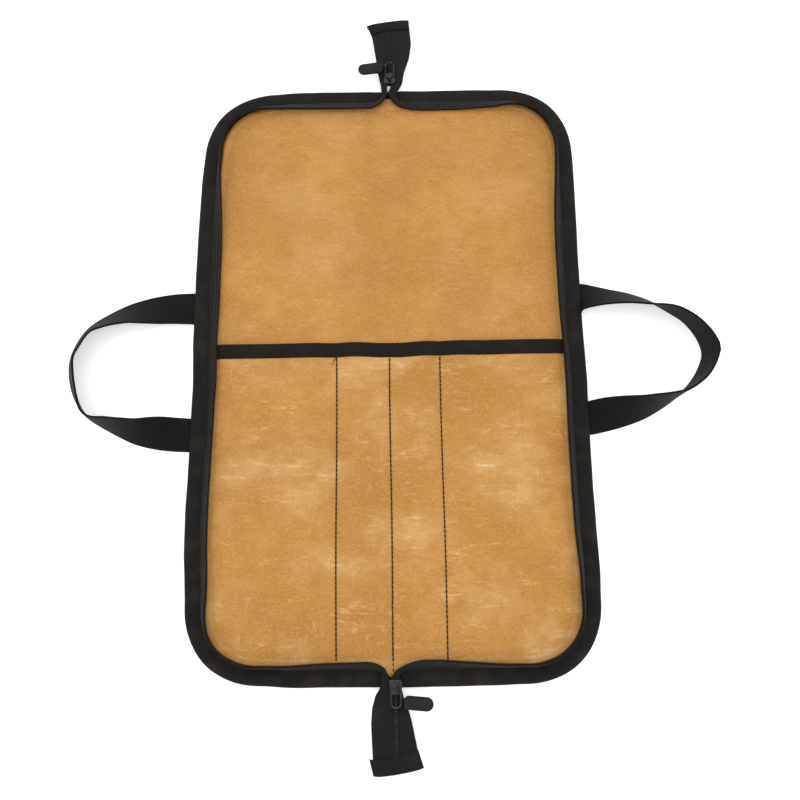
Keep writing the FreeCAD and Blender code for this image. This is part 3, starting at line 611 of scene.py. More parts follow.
class Edge:
    """One half's outer edge as samples from the spine's top end round to its bottom end."""

    def __init__(self, side):
        self.side = side
        self.sign = SIDES[side]
        points = [(across, HALF_LENGTH, 0.0, -1.0) for across in COLUMNS]
        self.top_count = len(points) - 1
        for step in range(1, ARC_STEPS + 1):
            points.append(self.on_corner(math.pi / 2 * (1 - step / ARC_STEPS), 1))
        for step in range(1, SIDE_STEPS):
            points.append((HALF_WIDTH, CORNER_Y - 2 * CORNER_Y * step / SIDE_STEPS, -1.0, 0.0))
        for step in range(ARC_STEPS + 1):
            points.append(self.on_corner(math.pi / 2 * step / ARC_STEPS, -1))
        points += [(across, -HALF_LENGTH, 0.0, 1.0) for across in COLUMNS[-2::-1]]
        samples = np.array(points)
        self.places = samples[:, :2]
        self.normals = samples[:, 2:]
        self.count = len(samples)
        self.along = lengths_along(self.places)
        self.drawn_in = self.irregular()
        down_side = np.abs(self.places[:, 1]) < CORNER_Y
        self.from_spine = self.places[:, 0] + FAR_FROM_SPINE * down_side

    def on_corner(self, turn, end):
        """A point of a corner's arc, with its inward normal."""
        out = (math.cos(turn), end * math.sin(turn))
        return (CORNER_X + CORNER_RADIUS * out[0], end * CORNER_Y + CORNER_RADIUS * out[1], -out[0], -out[1])

    def irregular(self):
        """How far the sewn edge is drawn in from the neat outline at each sample, as in handwork."""
        total = self.along[-1]
        lower = total - CORNER_X - ARC
        stations = [0.0, CORNER_X - 20.0]
        stations += [CORNER_X + ARC * share for share in CORNER_SHARES]
        stations += [CORNER_X + ARC + CORNER_Y - along for along in SIDE_STATIONS]
        stations += [lower + ARC * share for share in CORNER_SHARES]
        stations += [total - CORNER_X + 20.0, total]
        fine = np.arange(0.0, total + 1.0, 1.0)
        drawn = eased(np.interp(fine, stations, DRAWN_IN[self.side]), 8)
        start = {"left": 3.0, "right": 11.0}[self.side]
        slow = noise_along(fine, 60.0, start)
        quick = noise_along(fine, 20.0, start + 5)
        to_spine = np.minimum(fine, fine[-1] - fine)
        drawn = drawn + smooth(to_spine, 3.0, 40.0) * (0.3 * slow + 0.25 * quick)
        return np.interp(self.along, fine, drawn)

    def inset(self, distance):
        """The places a distance in from the edge, one for each sample. Distance may be a list."""
        return self.places + self.normals * (np.asarray(distance) + self.drawn_in)[..., None]

    def section(self, distances, heights):
        """Sections across the edge: at each sample a line of points at those distances in and heights."""
        lines = []
        for distance, height in zip(distances, heights):
            lines.append(np.column_stack([self.inset(distance), np.broadcast_to(height, (self.count,))]))
        return self.mirrored(np.stack(lines, axis=1))

    def mirrored(self, points):
        """Points of the right half carried over to this half."""
        moved = np.array(points, float)
        moved[..., 0] *= self.sign
        return moved


EDGES = {side: Edge(side) for side in SIDES}


# --- large sheets: the field of each half plus a rim that follows the edge ---

FADE_ROWS = 24
COLUMN_STEP = 2.4


class Field:
    """The points over one half: a grid inside an inset of the edge, and rim rows that follow the edge out."""

    def __init__(self, edge, inset, rim, from_x=0.0, top_y=None, tongue=0.0):
        self.edge = edge
        first = edge.top_count
        last = edge.count - 1 - edge.top_count
        boundary = edge.inset(inset)[first:last + 1]
        top_line = edge.inset(inset)[:first + 1, 1]
        bottom_line = edge.inset(inset)[last:, 1][::-1]
        if top_y is not None:
            boundary = np.array([place for place in boundary if place[1] < top_y - 1.5])
            boundary = np.vstack([[np.interp(top_y, *self.side_line(edge, inset)), top_y], boundary])
        widest = HALF_WIDTH - inset
        outer_columns = np.arange(CORNER_X + COLUMN_STEP, widest - 0.5, COLUMN_STEP)
        columns = np.concatenate([COLUMNS, outer_columns, [widest]])
        kept = COLUMNS
        if from_x:
            beyond = from_x + 0.8
            columns = np.concatenate([[from_x], columns[columns > beyond]])
            kept = COLUMNS[COLUMNS > beyond]
        rows = []
        for row, row_x in enumerate(self.drawn_columns(columns, boundary, kept)):
            row_y = np.full(len(columns), boundary[row, 1])
            for from_end, end_line in ((row, top_line), (len(boundary) - 1 - row, bottom_line)):
                cut_off = top_y is not None and end_line is top_line
                if from_end < FADE_ROWS and not cut_off:
                    fade = 1 - smooth(from_end, 0, FADE_ROWS)
                    row_y = row_y + fade * (np.interp(row_x, COLUMNS, end_line) - end_line[-1])
            rows.append(np.column_stack([row_x, row_y]))
        self.rows = np.array(rows)
        self.shape = self.rows.shape[:2]
        self.rim = rim
        self.inset = inset
        self.top_y = top_y
        self.tongue = tongue

    @staticmethod
    def side_line(edge, inset):
        """The straight side at that inset, as rising Y values and their X, for interpolation."""
        places = edge.inset(inset)
        on_side = np.abs(edge.normals[:, 0]) > 0.999
        along = places[on_side]
        order = np.argsort(along[:, 1])
        return along[order, 1], along[order, 0]

    @staticmethod
    def drawn_columns(columns, boundary, kept):
        """Each row's X values: the inner columns stay put, and the outer ones follow the boundary in."""
        hold = kept[-1] * 0.72
        widest = columns[-1]
        rows = []
        for across, _ in boundary:
            outer = hold + (columns - hold) * (across - hold) / (widest - hold)
            rows.append(np.where(columns <= hold, columns, outer))
        return np.array(rows)

    def flat_points(self):
        """All points of the field, row by row, and then of the rim, with each point's inset."""
        field = self.rows.reshape(-1, 2)
        ring = self.ring()
        ring_places = field[ring]
        samples = self.ring_samples(ring_places)
        rim_points = []
        rim_insets = []
        at_spine = (1 - smooth(ring_places[:, 0], 2.0, 6.5)) * (ring_places[:, 1] < 0)
        for number, distance in enumerate(self.rim, start=1):
            step = self.inset - distance + at_spine * self.tongue * number / len(self.rim)
            rim_points.append(ring_places - samples * step[:, None])
            rim_insets.append(np.full(len(ring), distance))
        edge_line = self.edge.inset(0.0)
        gaps = np.sqrt(((field[:, None, :] - edge_line[None, ::2, :]) ** 2).sum(axis=2)).min(axis=1)
        points = np.vstack([field, *rim_points])
        insets = np.concatenate([np.maximum(gaps, self.inset), *rim_insets])
        return points, insets

    def ring(self):
        """Indexes of the field's outer points, in order, from the spine's top end to its bottom end."""
        rows, columns = self.shape
        top = [] if self.top_y is not None else list(range(columns - 1))
        outer = [row * columns + columns - 1 for row in range(rows)]
        bottom = [(rows - 1) * columns + column for column in range(columns - 2, -1, -1)]
        return np.array(top + outer + bottom)

    def ring_samples(self, places):
        """The inward normal of the edge at each of those points."""
        normals = []
        for across, along in places:
            past_x = across - CORNER_X
            past_y = abs(along) - CORNER_Y
            if past_x > 0 and past_y > 0:
                out = np.array([past_x, math.copysign(past_y, along)])
                normals.append(-out / np.linalg.norm(out))
            elif past_y > 0 and past_x <= 0:
                normals.append(np.array([0.0, -math.copysign(1.0, along)]))
            else:
                normals.append(np.array([-1.0, 0.0]))
        return np.array(normals)

    def faces(self):
        """Faces of the field and the rim."""
        rows, columns = self.shape
        mirrored = self.edge.sign < 0
        faces = grid_faces(rows, columns, flip=mirrored)
        ring = self.ring()
        start = rows * columns
        inner = ring
        for _ in self.rim:
            outer = np.arange(start, start + len(ring))
            for spot in range(len(ring) - 1):
                face = (int(inner[spot]), int(outer[spot]), int(outer[spot + 1]), int(inner[spot + 1]))
                faces.append(face if mirrored else face[::-1])
            inner = outer
            start += len(ring)
        return faces

    def sheet(self, name, height, thickness):
        """A sheet whose top is at height(x, y, inset), with its thickness below."""
        flat, insets = self.flat_points()
        heights = height(flat[:, 0], flat[:, 1], insets)
        points = self.edge.mirrored(np.column_stack([flat, heights]))
        piece = piece_from(name, points, self.faces(), points[:, :2])
        face_up(piece)
        return thickened(piece, thickness, offset=-1.0)


def face_up(piece):
    """Turns an open sheet's faces so that most of them look up."""
    upward = sum(face.normal.z for face in piece.data.polygons)
    if upward < 0:
        piece.data.flip_normals()


def soft_noise(x, y, scale, seed):
    """Smooth noise from -1 to 1 at many points, with blobs about scale millimetres across."""
    return np.array([noise.noise(Vector((a / scale, b / scale, seed))) for a, b in zip(x, y)])


SPINE_LINING_TOP = 2.2
FIELD_TOP = 4.2
HEM_TOP = 1.9
PAD_EDGE = 12.6
SPINE_PANEL_TOP = 2.95


def off_spine(x):
    """0 on the spine, rising to 1 where the foam begins."""
    return smooth(x, 7.5, 19.0)


def lining_height(side):
    """The lining's top: low on the spine, up over the foam, and down to the hem under the wall."""
    seed = {"left": 2.0, "right": 7.0}[side]

    def height(x, y, inset):
        padded = off_spine(x)
        body = SPINE_LINING_TOP + (FIELD_TOP - SPINE_LINING_TOP) * padded
        body = body + padded * 0.30 * soft_noise(x, y, 46.0, seed) * smooth(inset, 16.0, 26.0)
        body = body + padded * 0.12 * soft_noise(x, y, 15.0, seed + 3) * smooth(inset, 14.0, 20.0)
        body = body + hump(x, 0.0, 1.1) * 0.25
        if side == "left":
            corner_run = hump(y, 172.0, 24.0) * smooth(x, 90.0, 118.0)
            body = body + corner_run * (2.4 * hump(inset, 14.8, 1.6) - 0.8 * hump(inset, 19.6, 2.0))
            low_run = hump(y, -60.0, 70.0) * smooth(x, 100.0, 120.0)
            body = body + low_run * 0.5 * hump(inset, 18.0, 1.6)
        down = smooth(inset, 11.3, PAD_EDGE + 0.4)
        return HEM_TOP + (body - HEM_TOP) * down

    return height


def cover_height(x, y, inset):
    """The outer canvas's top, where the foam lies on it."""
    return np.full(len(x), 1.15) - 0.05 * smooth(-inset, -11.5, -10.0)


def pad_height(x, y, inset):
    """The foam's top, rounded off at its rim and beside the spine."""
    rim = smooth(inset, PAD_EDGE + 0.3, PAD_EDGE + 1.8)
    beside_spine = smooth(x, 11.5, 20.0)
    return 1.9 + 1.2 * np.minimum(rim, beside_spine)


def panel_height(side):
    """The pocket panel's top: sewn down at the spine, the seam and its edge, with soft slots between."""
    seed = {"left": 12.0, "right": 17.0}[side]
    seam_x = SEAM_X[side]

    def height(x, y, inset):
        padded = off_spine(x)
        base = SPINE_PANEL_TOP + 2.1 * padded
        seam = 1 - 0.85 * hump(x, seam_x, 2.2)
        rim = smooth(inset, 13.5, 24.0)
        wide = smooth(x, seam_x + 1.0, seam_x + 18.0)
        narrow = smooth(x, 16.0, 25.0) * (1 - smooth(x, seam_x - 9.0, seam_x - 1.0))
        fullness = 1.7 * wide + 1.0 * narrow
        mouth = 0.55 + 0.45 * smooth(y, -40.0, PANEL_TOP_Y)
        body = base + rim * seam * fullness * mouth
        body = body + rim * padded * 0.45 * soft_noise(x, y, 38.0, seed)
        body = body + rim * padded * 0.28 * soft_noise(x * 0.5, y * 1.7, 17.0, seed + 4)
        body = body - 0.35 * padded * hump(x, seam_x, 1.2)
        return np.maximum(body, SPINE_PANEL_TOP + 1.45 * padded)

    return height


COVER_THICK = 1.1
PAD_THICK = 0.7
CLOTH_THICK = 0.6
SHEET_INSET = 18.0
COVER_RIM = (12.5, 11.2, 10.7, 10.4, 6.0, 1.0)
PAD_RIM = (15.5, 14.2, 13.4, 12.8)
LINING_RIM = (16.4, 15.2, 14.2, 13.4, 12.8, 12.3, 11.8, 11.3, 10.6, 6.0, 1.0)
PANEL_RIM = (16.6, 15.2, 14.0, 12.9)


def make_sheets(side):
    """The outer canvas, the foam pad, the lining and the pocket panel of one half."""
    edge = EDGES[side]
    cover = Field(edge, SHEET_INSET, COVER_RIM).sheet(side + "_outer_canvas", cover_height, COVER_THICK)
    dressed(cover, OUTER_CLOTH)
    bends_at_fold(cover, side, *half_nodes(side, "cover", "spine_cover"))

    pad = Field(edge, SHEET_INSET, PAD_RIM, from_x=11.0).sheet(side + "_foam_pad", pad_height, PAD_THICK)
    dressed(pad, FOAM)
    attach(pad, side + "_half")
    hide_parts(side + "_foam")

    lining_field = Field(edge, SHEET_INSET, LINING_RIM)
    lining = lining_field.sheet(side + "_lining_cloth", lining_height(side), CLOTH_THICK)
    dressed(lining, LINING_CLOTH)
    bends_at_fold(lining, side, *half_nodes(side, "lining", "spine_lining"))

    panel_field = Field(edge, SHEET_INSET, PANEL_RIM, top_y=PANEL_TOP_Y, tongue=6.6)
    panel = panel_field.sheet(side + "_pocket_cloth", panel_height(side), CLOTH_THICK)
    dressed(panel, PANEL_CLOTH)
    bends_at_fold(panel, side, *half_nodes(side, "pocket_panel", "spine_pocket_panel"))


def panel_top(side, x, y, inset=60.0):
    """The height of the panel's top at some places, for what is sewn to it."""
    x = np.asarray(x, float)
    y = np.asarray(y, float)
    return panel_height(side)(x, y, np.broadcast_to(np.asarray(inset, float), x.shape))


# --- the tape over the pockets' top edge and the seams ---

TRIM_TALL = 10.8
TRIM_SHIFT = 0.25
# the tape's section: (distance past the panel's top edge, height over the panel), over the top and back below
TRIM_PROFILE = (
    (-TRIM_TALL, 0.18), (-TRIM_TALL + 0.25, 0.5), (-TRIM_TALL * 0.5, 0.56), (-0.9, 0.52), (-0.15, 0.40),
    (0.25, 0.0), (0.30, -0.5), (0.0, -1.05), (-0.7, -1.3), (-TRIM_TALL + 0.4, -1.35),
)


def pocket_seam_lines(x, y, heights):
    """The long stitches of a seam down the pocket panel."""
    return stitches_along(np.column_stack([x, y, heights]), upright(len(y)), 2.8, 0.7, 0.3)


def make_pocket_trim(side):
    """The grosgrain folded over the panel's top edge, its stitching, and the seam between the slots."""
    edge = EDGES[side]
    sign = edge.sign
    along, across = Field.side_line(edge, 0.0)
    wall_x = np.interp(PANEL_TOP_Y - 5.0, along, across) - 13.2
    spots = np.concatenate([COLUMNS[:-1], np.linspace(CORNER_X, wall_x, 20)])
    from_wall = np.clip(148.0 - spots, 0.0, 60.0)
    sections = []
    for spot, inset in zip(spots, from_wall):
        waver = 0.35 * noise.noise(Vector((spot * sign / 30.0, 4.0, 1.0)))
        waver -= 0.8 * smooth(-spot * sign, 20.0, 90.0)
        section = []
        for back, rise in TRIM_PROFILE:
            y = PANEL_TOP_Y + TRIM_SHIFT + back
            z = panel_top(side, [spot], [min(y, PANEL_TOP_Y)], inset)[0]
            section.append((spot * sign, y + waver, z + rise))
        sections.append(section)
    band = ribbon(side + "_pocket_tape", sections, 0.5, flip=sign < 0)
    dressed(band, POCKET_TAPE)
    bends_at_fold(band, side, *half_nodes(side, "pocket_binding", "spine_pocket_binding"))

    seam_y = np.arange(PANEL_TOP_Y - TRIM_TALL - 0.5, -HALF_LENGTH + 14.0, -1.5)
    seam_x = SEAM_X[side] + 0.25 * np.sin(seam_y / 31.0)
    lines = pocket_seam_lines(seam_x * sign, seam_y, panel_top(side, seam_x, seam_y) + 0.12)
    seam = sewn(side + "_pocket_seam", lines, POCKET_THREAD, side + "_half")
    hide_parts(side + "_pocket_stitch")

    off_fold = spots > 13.0
    x = spots[off_fold]
    y = np.full(len(x), PANEL_TOP_Y + TRIM_SHIFT - TRIM_TALL + 1.1)
    z = panel_top(side, x, y, from_wall[off_fold]) + 0.80
    lines = stitches_along(np.column_stack([x * sign, y, z]), upright(len(x)), 2.2, 0.8, 0.16)
    sewn(side + "_pocket_tape_stitches", lines, FINE_THREAD, side + "_half")


def make_centre_seam():
    """The seam down the middle of the spine, and the loose thread end by the left slot."""
    seam_y = np.arange(PANEL_TOP_Y - 11.3, -HALF_LENGTH + 7.5, -1.5)
    lines = pocket_seam_lines(0.2 * np.sin(seam_y / 27.0), seam_y, np.full(len(seam_y), 3.05))
    seam = sewn("centre_seam", lines, POCKET_THREAD, "root")
    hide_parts("centre_stitch")

    start_y = PANEL_TOP_Y - 10.6
    start_z = panel_top("left", [SEAM_X["left"]], [start_y])[0] + 0.35
    turns = np.linspace(0.0, 1.0, 14)
    x = -SEAM_X["left"] + 0.3 - 2.2 * np.sin(turns * 2.2) - 1.2 * turns
    z = start_z + 0.5 * np.sin(turns * math.pi) + 0.15
    loose = np.column_stack([x, start_y - 6.8 * turns, z])
    thread_end = tube("loose_thread_end", loose, np.linspace(0.26, 0.16, len(turns)), around=6)
    dressed(thread_end, BLACK_THREAD)
    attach(thread_end, "left_half")


# --- the binding and the wall of zip tape ---

SPINE_NARROWING = 0.42
# the binding's section: (distance in from the edge, height), over the top, round the edge and back below
BINDING_PROFILE = (
    (BINDING_WIDTH, BINDING_TOP - 0.55), (BINDING_WIDTH - 0.2, BINDING_TOP - 0.12),
    (7.6, BINDING_TOP), (4.2, BINDING_TOP + 0.05), (1.7, BINDING_TOP - 0.08),
    (0.7, BINDING_TOP - 0.4), (0.12, BINDING_TOP - 1.05), (0.02, BINDING_TOP * 0.5),
    (0.15, 0.95), (0.7, 0.35), (1.7, 0.10), (4.2, 0.0), (7.6, 0.0), (BINDING_WIDTH, 0.05),
)


def make_edge_binding(side):
    """The grosgrain folded round the edge, with a row of stitches near its inner edge."""
    edge = EDGES[side]
    drop = 0.6 * (1 - smooth(edge.from_spine, 9.0, 13.0))
    narrowing = SPINE_NARROWING * (1 - smooth(edge.from_spine, 2.0, 8.5))
    distances = [inset * (1 - narrowing) for inset, _ in BINDING_PROFILE]
    heights = [rise - drop * (rise / BINDING_TOP) for _, rise in BINDING_PROFILE]
    sections = edge.section(distances, heights)
    piece = ribbon(side + "_edge_binding", sections, 0.55, flip=edge.sign > 0, offset=1.0)
    dressed(piece, BINDING_TAPE)
    bends_at_fold(piece, side, *half_nodes(side, "binding", "top_end_binding", "bottom_end_binding"))

    line = edge.section([BINDING_WIDTH - 1.6], [BINDING_TOP + 0.02])[:, 0][edge.from_spine > 13.5]
    lines = stitches_along(line, upright(len(line)), 2.3, 0.9, 0.12)
    sewn(side + "_binding_stitches", lines, FINEST_THREAD, side + "_half")


# the zip tape's lean in degrees, from the top's middle round the side to the bottom's middle
LEANS = {
    "left": (60, 64, 60, 14, 12, 26, 60, 82, 59, 42, 48, 34, -6, 2, 22, 28, 40),
    "right": (60, 88, 78, 14, 12, 24, 48, 50, 38, 38, 32, 20, -6, 2, 22, 48, 40),
}
LEAN_DOWN_SIDE = (CORNER_Y, 150.0, 120.0, 80.0, 0.0, -80.0, -140.0, -CORNER_Y)
WALL_STEPS = 14
TAPE_HEM = ((9.4, 2.45), (10.3, 2.6), (10.9, 3.2), (11.1, 4.0))
TAPE_FREE = 9.1
TAPE_THICK = 0.65
ROOT_Y = 226.0
ROOT_X = {"top": 1.5, "bottom": -2.6}
ROOT_GAP = {"top": 1.2, "bottom": 2.4}
NOTCH_WIDTH = {
    "top": {"left": 14.0, "right": 19.0},
    "bottom": {"left": 19.0, "right": 22.0},
}
ROOT_WIDTH = {
    "top": {"left": 5.4, "right": 7.8},
    "bottom": {"left": 5.8, "right": 6.4},
}


def leans(edge):
    """The zip tape's lean towards the tray at each sample, in radians."""
    total = edge.along[-1]
    runs = [0.0, 24.0, CORNER_X - 22.0, CORNER_X + ARC / 2]
    runs += [CORNER_X + ARC + CORNER_Y - y for y in LEAN_DOWN_SIDE]
    runs += [total - CORNER_X - ARC / 2, total - 80.0, total - 55.0, total - 24.0, total]
    fine = np.arange(0.0, total + 1.0, 1.0)
    rough = np.interp(fine, runs, LEANS[edge.side])
    waver = noise_along(fine, 42.0, {"left": 21.0, "right": 29.0}[edge.side])
    return np.radians(np.interp(edge.along, fine, eased(rough, 17) + 4.0 * waver))


def root_section(end, side):
    """The gathered tape where it leaves the case, from its turned-under edge to its coil edge."""
    gap = ROOT_GAP[end]
    wide = ROOT_WIDTH[end][side]
    profile = np.array([
        (wide - 2.4, ROOT_Y - 0.6, 4.25), (wide - 1.4, ROOT_Y - 0.4, 4.1), (wide - 0.4, ROOT_Y - 0.2, 4.4),
        (wide, ROOT_Y, 5.2), (wide - 0.4, ROOT_Y + 0.1, 6.1), (wide - 1.4, ROOT_Y + 0.2, 6.45),
        (gap + 0.8, ROOT_Y + 0.2, 6.4), (gap, ROOT_Y + 0.2, 6.4),
    ])
    along = lengths_along(profile)
    return line_at(profile, along, np.linspace(0.0, along[-1], WALL_STEPS))


def wall_sections(edge):
    """Sections of the zip tape: its hem under the binding, the bend, and the free part that leans in."""
    sections = np.zeros((edge.count, WALL_STEPS, 3))
    free_steps = WALL_STEPS - len(TAPE_HEM)
    step = TAPE_FREE / free_steps
    for number, lean in enumerate(leans(edge)):
        line = list(TAPE_HEM)
        across, rise = TAPE_HEM[-1]
        for part in range(1, free_steps + 1):
            turn = lean * min(1.0, 0.45 + 1.0 * (part / free_steps))
            across += math.sin(turn) * step
            rise += math.cos(turn) * step
            line.append((across, rise))
        profile = np.array(line)
        inset = profile[:, :1] + edge.drawn_in[number]
        sections[number, :, :2] = edge.places[number] + edge.normals[number] * inset
        sections[number, :, 2] = profile[:, 1]
    for end, end_sign in ENDS.items():
        width = NOTCH_WIDTH[end][edge.side]
        target = root_section(end, edge.side)
        target[:, 0] += ROOT_X[end] * edge.sign
        target[:, 1] *= end_sign
        near = (edge.places[:, 0] < width) & (edge.places[:, 1] * end_sign > CORNER_Y)
        for number in np.nonzero(near)[0]:
            late = smooth(width - edge.places[number, 0], 0.0, width - 1.0) ** 1.25
            sections[number] = sections[number] * (1 - late) + target * late
    return edge.mirrored(sections)


def free_edge_frame(sections):
    """The tape's free edge, with the way up the tape and the way out of its tray side at each place."""
    top = sections[:, -1]
    up_tape = unit(top - sections[:, -3])
    face = np.cross(unit(np.gradient(top, axis=0)), up_tape)
    middle = len(face) // 2
    if (face[middle, :2] * top[middle, :2]).sum() > 0:
        face = -face
    return top, up_tape, face


def coil_stitches(edge, sections):
    """The two rows that sew the coil on, as they show on the tape's outer side."""
    top, up_tape, face = free_edge_frame(sections)
    clear = edge.from_spine > 26.0
    rows = []
    for back in (1.5, 3.6):
        line = (top - up_tape * back - face * 0.34)[clear]
        rows += stitches_along(line, -face[clear], 1.5, 0.9, 0.16)
    # The pale thread paints the dotted highlights along the coil as well as the stitches.
    sewn(edge.side + "_coil_stitches", rows, FINE_THREAD, edge.side + "_half", ZIP_THREAD_WITH_PAINTED_GLINTS)


def resampled(points, step):
    """A line's points at even steps."""
    along = lengths_along(points)
    return line_at(points, along, np.arange(0.0, along[-1], step))


COIL_PITCH = 1.35
TURN_POINTS = 7


def helix(middle, radius, flatten=1.0):
    """A helix of the coil's pitch round a line."""
    fine = resampled(middle, COIL_PITCH / TURN_POINTS)
    first, second = frames_along(fine)
    turns = np.arange(len(fine)) * 2 * math.pi / TURN_POINTS
    sideways = first * (radius * np.cos(turns))[:, None]
    return fine + sideways + second * (radius * flatten * np.sin(turns))[:, None]


def make_zip_wall(side):
    """The standing zip tape of one half with its coil and the two rows that sew the coil on."""
    edge = EDGES[side]
    sections = wall_sections(edge)
    wall = ribbon(side + "_zip_wall", sections, TAPE_THICK, flip=edge.sign > 0)
    dressed(wall, ZIP_TAPE)
    bends_at_fold(wall, side, *half_nodes(side, "zip_tape", "top_tape_roots", "bottom_tape_roots"))

    top, up_tape, face = free_edge_frame(sections)
    middle = top - up_tape * 0.9 + face * 0.95
    coil = tube(side + "_coil", helix(middle, 0.78), 0.30, around=5)
    dressed(coil, COIL)
    bends_at_fold(coil, side, side + "_zip_coil")
    coil_stitches(edge, sections)
    core = tube(side + "_coil_cord", resampled(middle, 2.0), 0.52, around=7)
    dressed(core, ZIP_TAPE)
    bends_at_fold(core, side)


# --- the zip tails ---

TAIL_Z = 6.4
# each tape's outer edge: (Y from the spine's middle, distance from the tail's middle line)
TAIL_OUTLINE = {
    "top": {
        "left": ((228, 4.6), (236, 7.0), (246, 9.4), (259, 10.9), (273, 12.8), (281, 14.0), (290, 17.4)),
        "right": ((228, 6.6), (236, 9.6), (247, 12.0), (260, 16.2), (273, 18.0), (284, 17.4), (297, 15.6)),
    },
    "bottom": {
        "left": (
            (227, 5.4), (231, 6.6), (235, 9.9), (238, 12.5), (241, 14.2),
            (248, 16.2), (258, 16.9), (271, 16.4), (292, 15.4),
        ),
        "right": (
            (228, 6.6), (235, 3.9), (241, 5.0), (247, 7.4),
            (254, 9.6), (262, 11.5), (270, 13.2), (288, 16.8),
        ),
    },
}
TURNED_UNDER = ("bottom", "right")
# each coil's line: (Y from the spine's middle, distance from the tail's middle line)
COIL_RUNS = {
    "top": ((226, 1.2), (229, 1.5), (235, 2.7), (239, 2.0), (242, 0.9), (300, 0.9)),
    "bottom": ((226, 2.4), (230, 1.6), (234, 0.9), (300, 0.9)),
}
COIL_STEP = 1.2
TAB_CORNERS = {
    "top": {"far": ((-15.2, 291.6), (19.4, 296.6)), "near": ((-9.6, 283.8), (20.0, 288.0))},
    "bottom": {"far": ((-14.2, 291.6), (19.4, 286.6)), "near": ((-16.8, 281.2), (15.8, 275.4))},
}
TAB_BULGE = 0.8
HALF_TAB = 1.35
# the tab's section: (share of the way back from its far edge, rise above its middle)
TAB_PROFILE = (
    (1.0, HALF_TAB - 0.35), (0.96, HALF_TAB), (0.5, HALF_TAB + 0.1), (0.13, HALF_TAB),
    (0.04, HALF_TAB * 0.72), (0.0, 0.0), (0.04, -HALF_TAB * 0.72),
    (0.13, -HALF_TAB), (0.5, -HALF_TAB - 0.05), (1.0, -HALF_TAB),
)
SLIDER_FRONT = {}
AXIS_X = {}
for end, sign in ENDS.items():
    low, high = node_box(end + "_slider")
    SLIDER_FRONT[end] = low[1] if sign > 0 else -high[1]
    AXIS_X[end] = (low[0] + high[0]) / 2


def coil_gap(end, y):
    """How far the coils are from the tail's middle line: apart below the slider and together beyond it."""
    return from_table(COIL_RUNS[end], y)


def tail_middle(end, y):
    """The X of a tail's middle line, which starts at the notch and drifts to the slider's axis."""
    return ROOT_X[end] + (AXIS_X[end] - ROOT_X[end]) * smooth(y, 227.0, 238.0)


def tab_line(end, which, share):
    """A point of the tab's far or near edge, share of the way from its left end to its right end."""
    (x0, y0), (x1, y1) = TAB_CORNERS[end][which]
    bulge = TAB_BULGE * np.sin(share * math.pi)
    return x0 + (x1 - x0) * share, y0 + (y1 - y0) * share + bulge


def tab_reach(end, x):
    """How far out the tab's far edge is at some X."""
    (x0, _), (x1, _) = TAB_CORNERS[end]["far"]
    return tab_line(end, "far", np.clip((x - x0) / (x1 - x0), 0.0, 1.0))[1]


def tail_section(end, side, y):
    """A section across one tape of a tail, from its outer edge to its coil edge."""
    outer = from_table(TAIL_OUTLINE[end][side], y)
    inner = max(coil_gap(end, y) - 0.8, 0.17)
    folded = 1 - smooth(y, 231.0, 280.0 if (end, side) == TURNED_UNDER else 248.0)
    flat_x = np.linspace(outer, inner, WALL_STEPS)
    sweep = math.sin((y - ROOT_Y) / 19.0)
    lift = 0.35 * sweep * np.sin(np.linspace(0.0, math.pi, WALL_STEPS)) * smooth(y, 238.0, 260.0)
    lift = lift + 0.45 * hump(flat_x, inner + 5.8, 0.9)
    flat = np.column_stack([flat_x, np.full(WALL_STEPS, y), TAIL_Z + lift])
    gathered = root_section(end, side)
    widest = gathered[:, 0].max()
    gathered[:, 0] = inner + (gathered[:, 0] - gathered[-1, 0]) * (outer - inner) / (widest - gathered[-1, 0])
    gathered[:, 1] = y
    section = gathered * folded + flat * (1 - folded)
    section[:, 0] = inner + (section[:, 0] - inner) * (outer - inner) / (section[:, 0].max() - inner)
    return section


def tail_runs(end):
    """Y values along a tail, closer together near the case."""
    far = max(y for _, y in TAB_CORNERS[end]["far"])
    return np.concatenate([np.arange(226.6, 252.0, 1.3), np.arange(252.0, far - 1.0, 3.0), [far - 1.0]])


def bends_at_tail(piece, end, *nodes):
    """Bakes a piece's placement into its points and hides the CAD nodes it stands for."""
    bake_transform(piece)
    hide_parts(*nodes)


def along_tail(end, side_sign, runs, offset, rise):
    """A line along a tail, offset from the outer side of one coil's line."""
    x = (coil_gap(end, runs) + offset) * side_sign + tail_middle(end, runs)
    return np.column_stack([x, runs * ENDS[end], np.full(len(x), TAIL_Z + rise)])


